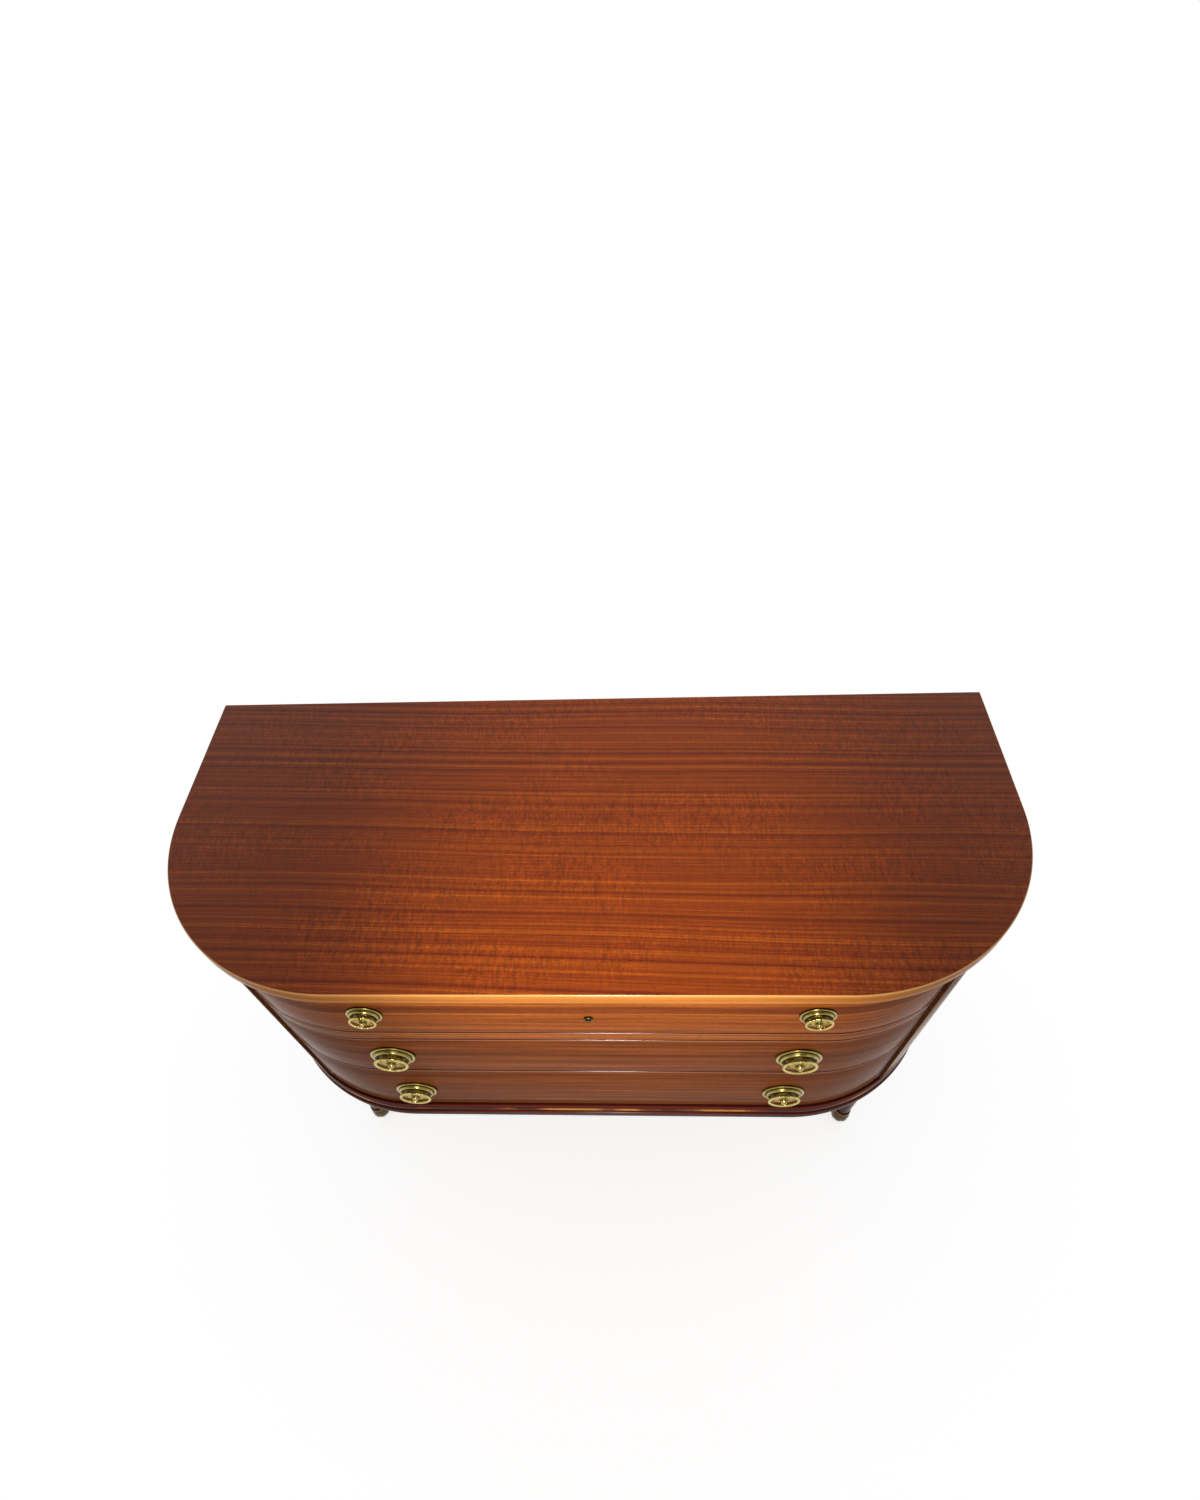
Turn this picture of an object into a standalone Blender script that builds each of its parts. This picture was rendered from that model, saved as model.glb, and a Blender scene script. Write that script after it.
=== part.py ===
"""Chest of drawers on a D-shaped plan: straight back, straight middle front, quarter-round corners.

Frame: metres, +Z up, the front faces -Y, the floor is z = 0, the origin is under the middle.
Plan curves are all parallel to the edge of the top and are given by their inset from it.
"""
import math

import bmesh
import bpy
from mathutils import Euler, Matrix

# Whole piece
TOP_WIDTH = 1.100
TOP_DEPTH = 0.464
TOTAL_HEIGHT = 0.770
CORNER_RADIUS = 0.256
SEAM = 0.0003
OVERRUN = 0.002
ARC_STEP = math.radians(5)
QUARTER = math.radians(90)
EIGHTH = math.radians(45)
SMOOTH_LIMIT = math.radians(35)
MERGE_DISTANCE = 0.00003

# Top
TOP_THICKNESS = 0.021
LIPPING_THICKNESS = 0.0025
TOP_ARRIS = 0.0010

# Insets of the faces below the top
FACE_INSET = 0.0125
SIDE_INSET = 0.0085
BASE_INSET = 0.005
BACK_INSET = 0.003

# Case
SIDE_THICKNESS = 0.014
BACK_THICKNESS = 0.006
BOTTOM_THICKNESS = 0.012
STILE_WIDTH = 0.0105
STILE_GROOVE = 0.0012
STILE_LAP = 0.022
STILE_DEPTH = 0.030
STILE_ROUND = 0.0030
STILE_ROUND_STEPS = 6
POST_WIDTH = 0.032
POST_DEPTH = 0.030
BACK_RAIL_THICKNESS = 0.018
TOP_BACK_RAIL_HEIGHT = 0.034
RAIL_HEIGHT = 0.022
RAIL_DEPTH = 0.045
RUNNER_LEDGE = 0.017
RUNNER_REACH = 0.020
GUIDE_HEIGHT = 0.016
GUIDE_CLEARANCE = 0.0009
DUST_BOARD_THICKNESS = 0.006
DUST_BOARD_HOUSING = 0.006

# Base and legs
LEG_LENGTH = 0.304
BASE_HEIGHT = 0.037
BASE_THICKNESS = 0.022
LEG_BLOCK = 0.040
KNEE_RADIUS = 0.0255
ANKLE_RADIUS = 0.0125
FOOT_REACH = 0.0125
LEG_ROUND_STEPS = 2
SABOT_HEIGHT = 0.043
SABOT_RADIUS = 0.0172
SABOT_FLOOR = 0.007
SPIGOT_RADIUS = 0.0105
SABOT_STEPS = 14

# Drawers
DRAWER_END_ANGLE = math.radians(32.5)
FRONT_HEIGHT_SHARES = (0.3113, 0.3033, 0.3854)
PULL_HEIGHT_SHARES = (0.50, 0.52, 0.45)
DRAWER_GAP = 0.0015
RAILLESS_GAP = 0.0025
FRONT_THICKNESS = 0.020
FRONT_ARRIS = 0.0010
BOX_SIDE_CLEARANCE = 0.008
BOX_BACK_CLEARANCE = 0.003
BOX_SIDE_DROP = 0.022
BOX_SIDE_THICKNESS = 0.012
BOX_BACK_THICKNESS = 0.012
BOX_BOTTOM_THICKNESS = 0.005
BOX_BOTTOM_RISE = 0.010
BOX_BOTTOM_HOUSING = 0.005
SIDE_HOUSING_WOOD = 0.010
TAIL_PITCH = 0.028

# Ring pulls: plate radius, plate height to the tip of its boss, ring tube radius
PULL_FROM_BEND = 0.0215
SMALL_PLATE_RADIUS = 0.0222
SMALL_PLATE_HEIGHT = 0.0165
SMALL_TUBE_RADIUS = 0.0018
LARGE_PLATE_RADIUS = 0.0305
LARGE_PLATE_HEIGHT = 0.0195
LARGE_TUBE_RADIUS = 0.0023
RING_PLATE_SHARE = 0.77
RING_PLANE_SHARE = 0.70
RING_CLEARANCE = 0.0005
EYE_WIRE_RADIUS = 0.0010
SHANK_RADIUS = 0.0018
SHANK_HOLE_CLEARANCE = 0.0004
NUT_RADIUS = 0.0048
NUT_THICKNESS = 0.003
NUT_SIDES = 6
SHANK_TAIL = 0.002
PLATE_STEPS = 20
RING_SEGMENTS = 20
RING_TUBE_SEGMENTS = 6
EYE_SEGMENTS = 10
SMALL_HOLE_SEGMENTS = 10

# Lock of the top drawer
KEY_BELOW_PULLS = 0.010
BUSH_RADIUS = 0.00575
BUSH_LENGTH = 0.0085
BUSH_PROUD = 0.0008
KEY_PIN_RADIUS = 0.0022
KEY_SLOT_WIDTH = 0.0022
KEY_SLOT_DROP = 0.0045
LOCK_WIDTH = 0.056
LOCK_THICKNESS = 0.014
LOCK_RECESS = 0.009
LOCK_BELOW_KEY = 0.016
KEY_BORE_RADIUS = 0.005
KEY_BORE_DEPTH = 0.008
BOLT_WIDTH = 0.026
BOLT_THICKNESS = 0.006
BOLT_LENGTH = 0.024
BOLT_TRAVEL = 0.008
MORTISE_CLEARANCE = 0.0015

# Sections as shares of the sizes named beside them
# base moulding: (share of BASE_THICKNESS in from its face, share of BASE_HEIGHT up)
BASE_SECTION_SHARES = (
    (0.00, 0.00), (0.00, 0.20), (0.13, 0.25), (0.20, 0.37), (0.21, 0.50), (0.15, 0.60),
    (0.07, 0.66), (0.02, 0.76), (0.03, 0.88), (0.12, 0.97), (0.25, 1.00), (1.00, 1.00), (1.00, 0.00))
# pull plate: (share of plate radius, share of plate height), from the tip of the boss outwards
PLATE_SECTION_SHARES = (
    (0.00, 1.00), (0.13, 0.95), (0.20, 0.80), (0.22, 0.56), (0.33, 0.50), (0.46, 0.34),
    (0.62, 0.24), (0.74, 0.27), (0.82, 0.42), (0.90, 0.42), (0.95, 0.24), (1.00, 0.16),
    (1.00, 0.00), (0.00, 0.00))
# leg: (share of the way up from its shoe, share of FOOT_REACH out,
#       share of the way from ankle to knee radius)
LEG_STATION_SHARES = (
    (0.01, 1.00, 0.00), (0.09, 0.96, 0.03), (0.23, 0.84, 0.15), (0.39, 0.66, 0.34),
    (0.56, 0.46, 0.56), (0.72, 0.28, 0.78), (0.86, 0.14, 0.94), (0.93, 0.06, 1.00),
    (0.98, 0.05, 0.96))
# brass foot: (share of SABOT_RADIUS, share of SABOT_HEIGHT), outer side from the rim down
SABOT_SECTION_SHARES = (
    (0.76, 1.00), (0.84, 0.96), (0.84, 0.88), (0.75, 0.80), (0.86, 0.66), (0.97, 0.50),
    (1.00, 0.36), (0.95, 0.20), (0.80, 0.07), (0.58, 0.00))
# dovetail: half widths as shares of its pitch, at the shoulder and at the end
TAIL_ROOT_SHARE = 0.26
TAIL_END_SHARE = 0.36

# Heights and places worked out from the above
pull_overhang = LARGE_PLATE_HEIGHT - FACE_INSET
back_y = (TOP_DEPTH + pull_overhang) / 2
front_y = back_y - TOP_DEPTH
half_width = TOP_WIDTH / 2
centre_x = half_width - CORNER_RADIUS
centre_y = front_y + CORNER_RADIUS
face_y = front_y + FACE_INSET
top_low = TOTAL_HEIGHT - TOP_THICKNESS
base_top = LEG_LENGTH + BASE_HEIGHT

face_radius = CORNER_RADIUS - FACE_INSET
stile_start = DRAWER_END_ANGLE + DRAWER_GAP / face_radius
stile_shown = stile_start + STILE_WIDTH / face_radius
stile_stop = stile_shown + STILE_LAP / face_radius
side_start = stile_shown + STILE_GROOVE / face_radius

case_back_y = back_y - BACK_INSET
back_panel_y = case_back_y - BACK_THICKNESS
back_rail_y = back_panel_y - SEAM - BACK_RAIL_THICKNESS
side_inner = SIDE_INSET + SIDE_THICKNESS
post_outer_x = half_width - side_inner - SEAM
post_inner_x = post_outer_x - POST_WIDTH
base_inner = BASE_INSET + BASE_THICKNESS
block_top = base_top - BOTTOM_THICKNESS - SEAM

fronts_room = top_low - base_top - RAIL_HEIGHT - 4 * DRAWER_GAP - RAILLESS_GAP
front_1_height, front_2_height, front_3_height = [fronts_room * share for share in FRONT_HEIGHT_SHARES]
pull_1_rise = front_1_height * PULL_HEIGHT_SHARES[0]
pull_2_rise = front_2_height * PULL_HEIGHT_SHARES[1]
pull_3_rise = front_3_height * PULL_HEIGHT_SHARES[2]
rail_top = top_low - front_1_height - 2 * DRAWER_GAP
rail_low = rail_top - RAIL_HEIGHT
runner_2_top = rail_low - front_2_height - 2 * DRAWER_GAP

stile_inner_x = centre_x + (face_radius - STILE_DEPTH) * math.sin(stile_start)
box_half = stile_inner_x - BOX_SIDE_CLEARANCE
box_back_y = back_rail_y - BOX_BACK_CLEARANCE
runner_inner_x = box_half - RUNNER_LEDGE
runner_outer_x = stile_inner_x + RUNNER_REACH

# Each drawer: the height of its runner, the height of its front, its pull, and how high that sits on it
DRAWERS = {
    "drawer_1": (rail_top, front_1_height, "small", pull_1_rise),
    "drawer_2": (runner_2_top, front_2_height, "large", pull_2_rise),
    "drawer_3": (base_top, front_3_height, "large", pull_3_rise),
}
PULL_SIZES = {
    "small": (SMALL_PLATE_RADIUS, SMALL_PLATE_HEIGHT, SMALL_TUBE_RADIUS),
    "large": (LARGE_PLATE_RADIUS, LARGE_PLATE_HEIGHT, LARGE_TUBE_RADIUS),
}
SIDES = {"left": -1, "right": 1}


# Scene, collections and materials

def clear_scene():
    for item in list(bpy.data.objects):
        bpy.data.objects.remove(item)


def new_collection(name):
    made = bpy.data.collections.new(name)
    bpy.context.scene.collection.children.link(made)
    return made


def new_material(name, colour, roughness, metallic=0):
    made = bpy.data.materials.new(name)
    made.use_nodes = True
    shader = made.node_tree.nodes["Principled BSDF"]
    shader.inputs["Base Color"].default_value = (*colour, 1)
    shader.inputs["Roughness"].default_value = roughness
    shader.inputs["Metallic"].default_value = metallic
    made.diffuse_color = (*colour, 1)
    return made


clear_scene()
PARTS = new_collection("chest_of_drawers")
CUTTERS = new_collection("cutters")
VENEER = new_material("mahogany_veneer", (0.26, 0.075, 0.022), 0.28)
LIPPING = new_material("light_lipping", (0.62, 0.26, 0.08), 0.30)
FRONTS = new_material("mahogany_fronts", (0.24, 0.08, 0.03), 0.22)
DARK_WOOD = new_material("dark_mahogany", (0.09, 0.02, 0.01), 0.25)
PALE_WOOD = new_material("oak_carcass", (0.48, 0.32, 0.17), 0.6)
PLYWOOD = new_material("plywood", (0.52, 0.37, 0.21), 0.65)
BRASS = new_material("brass", (0.55, 0.42, 0.16), 0.28, 1)
STEEL = new_material("steel", (0.42, 0.41, 0.40), 0.4, 1)


# Making solids

def add_object(name, mesh, look, parent=None, location=(0, 0, 0), rotation=(0, 0, 0), cutter=False):
    made = bpy.data.objects.new(name, mesh)
    made.location = location
    made.rotation_euler = Euler(rotation)
    made.parent = parent
    if cutter:
        CUTTERS.objects.link(made)
        made.hide_render = True
        made.display_type = "WIRE"
    else:
        PARTS.objects.link(made)
        mesh.materials.append(look)
    return made


def add_empty(name, location):
    made = bpy.data.objects.new(name, None)
    made.location = location
    PARTS.objects.link(made)
    return made


def finish_mesh(name, build):
    bmesh.ops.recalc_face_normals(build, faces=build.faces)
    mesh = bpy.data.meshes.new(name)
    build.to_mesh(mesh)
    build.free()
    return mesh


def box_mesh(name, low, high):
    build = bmesh.new()
    bmesh.ops.create_cube(build, size=1)
    for vert in build.verts:
        for axis in range(3):
            middle = (low[axis] + high[axis]) / 2
            vert.co[axis] = middle + vert.co[axis] * (high[axis] - low[axis])
    return finish_mesh(name, build)


def plan_point(angle, inset, side=1):
    """Point on a corner curve; the angle is 0 straight ahead and a right angle at the side."""
    reach = CORNER_RADIUS - inset
    return side * (centre_x + reach * math.sin(angle)), centre_y - reach * math.cos(angle)


def steps_for(angle):
    return max(1, round(abs(angle) / ARC_STEP))


def corner_points(start, stop, inset, side=1):
    count = steps_for(stop - start)
    return [plan_point(start + (stop - start) * i / count, inset, side) for i in range(count + 1)]


def bow_angle(x, inset):
    """Angle on the right corner at which the curve of this inset reaches x."""
    return math.asin((x - centre_x) / (CORNER_RADIUS - inset))


def bow_y(x, inset):
    if abs(x) <= centre_x:
        return front_y + inset
    return plan_point(bow_angle(abs(x), inset), inset)[1]


def fronted_outline(right, rear):
    """Outline from the right half of its bowed front, with straight sides and a straight rear."""
    left = [(-x, y) for x, y in reversed(right)]
    half = right[-1][0]
    return left + right + [(half, rear), (-half, rear)]


def bow_outline(half, inset, rear):
    """Outline with the bowed front at an inset and its sides at +-half."""
    return fronted_outline(corner_points(0, bow_angle(half, inset), inset), rear)


def d_outline(inset, rear):
    """Whole D-shaped plan at an inset, with its straight back at rear."""
    return fronted_outline(corner_points(0, QUARTER, inset), rear)


def prism_mesh(name, outlines, thickness):
    """Flat outlines given their thickness, centred on their plane."""
    curve = bpy.data.curves.new(name, "CURVE")
    curve.dimensions = "2D"
    curve.fill_mode = "BOTH"
    curve.extrude = thickness / 2
    for outline in outlines:
        spline = curve.splines.new("POLY")
        spline.points.add(len(outline) - 1)
        for point, (x, y) in zip(spline.points, outline):
            point.co = (x, y, 0, 1)
        spline.use_cyclic_u = True
    guide = bpy.data.objects.new(name, curve)
    CUTTERS.objects.link(guide)
    graph = bpy.context.evaluated_depsgraph_get()
    flat = bpy.data.meshes.new_from_object(guide.evaluated_get(graph))
    bpy.data.objects.remove(guide)
    build = bmesh.new()
    build.from_mesh(flat)
    bmesh.ops.remove_doubles(build, verts=build.verts, dist=MERGE_DISTANCE)
    return finish_mesh(name, build)


def board(name, outlines, low, high, look, parent=None, cutter=False):
    """Horizontal board between two heights."""
    mesh = prism_mesh(name, outlines, high - low)
    return add_object(name, mesh, look, parent, (0, 0, (low + high) / 2), cutter=cutter)


def grown_face(build, face, geometry):
    """End face of a growth; the face it grew from is dropped unless it closes the start."""
    if any(len(edge.link_faces) > 2 for edge in face.edges):
        build.faces.remove(face)
    return next(item for item in geometry if isinstance(item, bmesh.types.BMFace))


def push_face(build, face, shift):
    grown = bmesh.ops.extrude_face_region(build, geom=[face])["geom"]
    verts = [item for item in grown if isinstance(item, bmesh.types.BMVert)]
    bmesh.ops.translate(build, verts=verts, vec=shift)
    return grown_face(build, face, grown)


def turn_face(build, face, centre, angle):
    swept = bmesh.ops.spin(build, geom=[face], cent=centre, axis=(0, 0, 1), angle=angle,
                           steps=steps_for(angle), use_duplicate=False)
    return grown_face(build, face, swept["geom_last"])


def swept_mesh(name, section, start, stop, rear=None):
    """Section of (inset, height) points swept round the plan, from the right towards the left.

    Angles are positive on the right corner and negative on the left one. Where an end is at a
    right angle, the sweep has a straight run there, from or to the line y = rear.
    """
    build = bmesh.new()
    run = rear - centre_y if rear else 0
    verts = []
    for inset, height in section:
        x, y = plan_point(start, inset)
        verts.append(build.verts.new((x, y + (run if start == QUARTER else 0), height)))
    face = build.faces.new(verts)
    if start == QUARTER:
        face = push_face(build, face, (0, -run, 0))
    face = turn_face(build, face, (centre_x, centre_y, 0), max(stop, 0) - start)
    if stop < 0:
        face = push_face(build, face, (-2 * centre_x, 0, 0))
        face = turn_face(build, face, (-centre_x, centre_y, 0), stop)
        if stop == -QUARTER:
            push_face(build, face, (0, run, 0))
    return finish_mesh(name, build)


def mirrored(mesh):
    build = bmesh.new()
    build.from_mesh(mesh)
    bmesh.ops.scale(build, vec=(-1, 1, 1), verts=build.verts)
    return finish_mesh(mesh.name, build)


def eased_section(outer, inner, low, high, arris):
    """Upright rectangular section whose two outer edges are eased."""
    return [(outer + arris, low), (outer, low + arris), (outer, high - arris),
            (outer + arris, high), (inner, high), (inner, low)]


def turned(name, profile, steps, look, parent=None, location=(0, 0, 0), rotation=(0, 0, 0)):
    """Solid of revolution; the profile of (radius, height) runs down its outer side."""
    mesh = bpy.data.meshes.new(name)
    points = [(radius, 0, height) for radius, height in profile]
    mesh.from_pydata(points, [(i, i + 1) for i in range(len(points) - 1)], [])
    made = add_object(name, mesh, look, parent, location, rotation)
    screw = made.modifiers.new("turn", "SCREW")
    screw.steps = steps
    screw.render_steps = steps
    screw.use_merge_vertices = True
    screw.merge_threshold = MERGE_DISTANCE
    screw.use_smooth_shade = True
    return made


def rod_mesh(name, radius, low, high, segments):
    """Round rod along the local Z axis."""
    build = bmesh.new()
    bmesh.ops.create_cone(build, cap_ends=True, segments=segments, radius1=radius, radius2=radius,
                          depth=high - low, matrix=Matrix.Translation((0, 0, (low + high) / 2)))
    return finish_mesh(name, build)


def torus_mesh(name, radius, tube, segments, tube_segments, turn):
    bpy.ops.mesh.primitive_torus_add(major_radius=radius, minor_radius=tube,
                                     major_segments=segments, minor_segments=tube_segments)
    made = bpy.context.object
    mesh = made.data
    mesh.name = name
    bpy.data.objects.remove(made)
    mesh.transform(turn)
    return mesh


def boolean(target, tool, operation):
    change = target.modifiers.new(operation.lower(), "BOOLEAN")
    change.operation = operation
    change.solver = "EXACT"
    change.object = tool


def smooth(made):
    made.data.shade_smooth()
    made.data.set_sharp_from_angle(angle=SMOOTH_LIMIT)


# Top

def make_top():
    panel_inset = LIPPING_THICKNESS + SEAM
    panel = board("top_panel", [d_outline(panel_inset, back_y)], top_low, TOTAL_HEIGHT, VENEER)
    mortise_low = (-BOLT_WIDTH / 2 - MORTISE_CLEARANCE, bolt_y() - MORTISE_CLEARANCE, top_low - OVERRUN)
    mortise_high = (BOLT_WIDTH / 2 + MORTISE_CLEARANCE, bolt_y() + BOLT_THICKNESS + MORTISE_CLEARANCE,
                    top_low + BOLT_TRAVEL)
    mortise = add_object("lock_mortise", box_mesh("lock_mortise", mortise_low, mortise_high), None,
                         cutter=True)
    boolean(panel, mortise, "DIFFERENCE")
    section = eased_section(0, LIPPING_THICKNESS, top_low, TOTAL_HEIGHT, TOP_ARRIS)
    lipping = swept_mesh("top_edge_lipping", section, QUARTER, -QUARTER, back_y)
    add_object("top_edge_lipping", lipping, LIPPING)


# Case: side panels, stiles, rear posts, back and bottom

def rounded_face(side):
    """Shown face of a stile in plan: a low arch between its two edges."""
    points = []
    for i in range(STILE_ROUND_STEPS + 1):
        turn = 2 * QUARTER * i / STILE_ROUND_STEPS
        angle = stile_start + (stile_shown - stile_start) * (1 - math.cos(turn)) / 2
        points.append(plan_point(angle, FACE_INSET + STILE_ROUND * (1 - math.sin(turn)), side))
    return points


def make_case():
    wall_low = base_top + SEAM
    wall_high = top_low - SEAM
    section = [(SIDE_INSET, wall_low), (SIDE_INSET, wall_high),
               (side_inner, wall_high), (side_inner, wall_low)]
    side_mesh = swept_mesh("side_panel", section, QUARTER, side_start, case_back_y)
    add_object("right_side_panel", side_mesh, DARK_WOOD)
    add_object("left_side_panel", mirrored(side_mesh), DARK_WOOD)
    for word, side in SIDES.items():
        lap_inset = side_inner + 2 * SEAM
        outline = (rounded_face(side)
                   + corner_points(stile_shown, stile_stop, lap_inset, side)
                   + corner_points(stile_stop, stile_start, FACE_INSET + STILE_DEPTH, side))
        board(f"{word}_stile", [outline], wall_low, wall_high, DARK_WOOD)
        outer = side * post_outer_x
        inner = side * post_inner_x
        rear = back_panel_y - SEAM
        low = (min(outer, inner), rear - POST_DEPTH, wall_low)
        high = (max(outer, inner), rear, wall_high)
        name = f"{word}_rear_post"
        add_object(name, box_mesh(name, low, high), PALE_WOOD)
    back_low = (-post_outer_x, back_panel_y, wall_low)
    back_high = (post_outer_x, case_back_y, wall_high)
    add_object("back_panel", box_mesh("back_panel", back_low, back_high), PLYWOOD)
    bottom_plan = [d_outline(base_inner + SEAM, case_back_y)]
    bottom = board("bottom_board", bottom_plan, base_top - BOTTOM_THICKNESS, base_top, PALE_WOOD)
    strips = []
    for side in SIDES.values():
        xs = (box_half + GUIDE_CLEARANCE, runner_outer_x)
        strip = [(side * x, bow_y(x, FACE_INSET + STILE_DEPTH + SEAM)) for x in xs]
        strips.append(strip + [(side * x, back_rail_y) for x in reversed(xs)])
    guides = board("bottom_guides", strips, base_top - OVERRUN, base_top + GUIDE_HEIGHT, None, cutter=True)
    boolean(bottom, guides, "UNION")


# Rails and runners: what ties the case together and carries the drawers

def dust_board_outline(grow):
    half = runner_inner_x + DUST_BOARD_HOUSING + grow
    front_inset = FACE_INSET + RAIL_DEPTH - DUST_BOARD_HOUSING - grow
    return bow_outline(half, front_inset, back_rail_y + DUST_BOARD_HOUSING + grow)


def make_runner(name, top, front_inset, side):
    """Ledge under the drawer side with a guide strip beside it, in one L-shaped piece."""
    rear = back_rail_y - SEAM
    guide_x = box_half + GUIDE_CLEARANCE
    ledge = [(side * x, bow_y(x, front_inset + SEAM)) for x in (runner_inner_x, runner_outer_x)]
    ledge += [(side * runner_outer_x, rear), (side * runner_inner_x, rear)]
    guide = [(side * x, bow_y(x, front_inset + SEAM)) for x in (guide_x, runner_outer_x)]
    guide += [(side * runner_outer_x, rear), (side * guide_x, rear)]
    runner = board(name, [ledge], top - RAIL_HEIGHT, top, PALE_WOOD)
    strip = board(f"{name}_guide", [guide], top - OVERRUN, top + GUIDE_HEIGHT, None, cutter=True)
    boolean(runner, strip, "UNION")
    return runner


def make_rails():
    rail_angle = stile_start - SEAM / face_radius
    section = eased_section(FACE_INSET, FACE_INSET + RAIL_DEPTH, rail_low, rail_top, FRONT_ARRIS)
    rail = add_object("drawer_rail", swept_mesh("drawer_rail", section, rail_angle, -rail_angle), FRONTS)
    rail_half = post_inner_x - SEAM
    spans = {
        "back_top_rail": (top_low - SEAM - TOP_BACK_RAIL_HEIGHT, top_low - SEAM, rail_half),
        "back_middle_rail": (rail_low, rail_top, rail_half),
        "back_lower_rail": (runner_2_top - RAIL_HEIGHT, runner_2_top, rail_half),
        "back_base_rail": (LEG_LENGTH, block_top, rear_block_x() - LEG_BLOCK / 2 - SEAM),
    }
    rear = back_panel_y - SEAM
    back_rails = {}
    for name, (low, high, half) in spans.items():
        mesh = box_mesh(name, (-half, back_rail_y, low), (half, rear, high))
        back_rails[name] = add_object(name, mesh, PALE_WOOD)
    middle = (rail_low + rail_top) / 2
    half_board = DUST_BOARD_THICKNESS / 2
    groove = board("dust_groove", [dust_board_outline(SEAM)], middle - half_board - SEAM,
                   middle + half_board + SEAM, None, cutter=True)
    board("dust_board", [dust_board_outline(0)], middle - half_board, middle + half_board, PLYWOOD)
    boolean(rail, groove, "DIFFERENCE")
    boolean(back_rails["back_middle_rail"], groove, "DIFFERENCE")
    for word, side in SIDES.items():
        upper = make_runner(f"runner_1_{word}", rail_top, FACE_INSET + RAIL_DEPTH, side)
        boolean(upper, groove, "DIFFERENCE")
        make_runner(f"runner_2_{word}", runner_2_top, FACE_INSET + STILE_DEPTH, side)

# Base moulding, legs and brass feet

def front_block_reach():
    """Distance from the corner centre to a front leg block that touches the base inside."""
    inside = (CORNER_RADIUS - base_inner) * math.cos(ARC_STEP / 2) - SEAM
    return math.sqrt(inside ** 2 - (LEG_BLOCK / 2) ** 2) - LEG_BLOCK / 2


def rear_block_x():
    return half_width - base_inner - SEAM - LEG_BLOCK / 2


def make_leg(name, x, y, heading):
    """Tapering leg, block and curved shaft in one, its foot standing out along heading from the block."""
    holder = add_empty(f"{name}_place", (x, y, 0))
    holder.rotation_euler = (0, 0, heading)
    half = LEG_BLOCK / 2
    leg = add_object(name, box_mesh(name, (-half, -half, LEG_LENGTH), (half, half, block_top)),
                     DARK_WOOD, holder)
    stations = [(SABOT_FLOOR + SEAM, FOOT_REACH, SPIGOT_RADIUS),
                (SABOT_HEIGHT - SEAM, FOOT_REACH, SPIGOT_RADIUS)]
    for rise, out, swell in LEG_STATION_SHARES:
        height = SABOT_HEIGHT + (LEG_LENGTH - SABOT_HEIGHT) * rise
        radius = ANKLE_RADIUS + (KNEE_RADIUS - ANKLE_RADIUS) * swell
        stations.append((height, FOOT_REACH * out, radius))
    for height in (LEG_LENGTH - SEAM, LEG_LENGTH + OVERRUN):
        stations.append((height, stations[-1][1], half - OVERRUN))
    curve = bpy.data.curves.new(name, "CURVE")
    curve.dimensions = "3D"
    curve.bevel_depth = 1
    curve.bevel_resolution = LEG_ROUND_STEPS
    curve.use_fill_caps = True
    spline = curve.splines.new("POLY")
    spline.points.add(len(stations) - 1)
    for point, (height, out, radius) in zip(spline.points, stations):
        point.co = (out, 0, height, 1)
        point.radius = radius
    guide = bpy.data.objects.new(name, curve)
    CUTTERS.objects.link(guide)
    graph = bpy.context.evaluated_depsgraph_get()
    round_mesh = bpy.data.meshes.new_from_object(guide.evaluated_get(graph))
    bpy.data.objects.remove(guide)
    build = bmesh.new()
    build.from_mesh(round_mesh)
    bmesh.ops.remove_doubles(build, verts=build.verts, dist=MERGE_DISTANCE)
    shaft = add_object(f"{name}_shaft", finish_mesh(name, build), None, holder, cutter=True)
    boolean(leg, shaft, "UNION")
    smooth(leg)
    cup_radius = (SPIGOT_RADIUS + SEAM) / math.cos(2 * QUARTER / SABOT_STEPS)
    cup = [(0, SABOT_FLOOR), (cup_radius, SABOT_FLOOR), (cup_radius, SABOT_HEIGHT)]
    cup += [(SABOT_RADIUS * r, SABOT_HEIGHT * z) for r, z in SABOT_SECTION_SHARES]
    cup.append((0, 0))
    turned(name.replace("leg", "sabot"), cup, SABOT_STEPS, BRASS, holder, (FOOT_REACH, 0, 0))


def make_base():
    section = [(BASE_INSET + BASE_THICKNESS * deep, LEG_LENGTH + BASE_HEIGHT * high)
               for deep, high in BASE_SECTION_SHARES]
    moulding = swept_mesh("base_moulding", section, QUARTER, -QUARTER, case_back_y)
    add_object("base_moulding", moulding, DARK_WOOD)
    reach = front_block_reach()
    for word, side in SIDES.items():
        x = side * (centre_x + reach * math.sin(EIGHTH))
        y = centre_y - reach * math.cos(EIGHTH)
        heading = -EIGHTH if side > 0 else EIGHTH - 2 * QUARTER
        make_leg(f"front_{word}_leg", x, y, heading)
        heading = 0 if side > 0 else 2 * QUARTER
        rear_y = back_panel_y - SEAM - LEG_BLOCK / 2
        make_leg(f"rear_{word}_leg", side * rear_block_x(), rear_y, heading)


# Drawers

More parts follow.
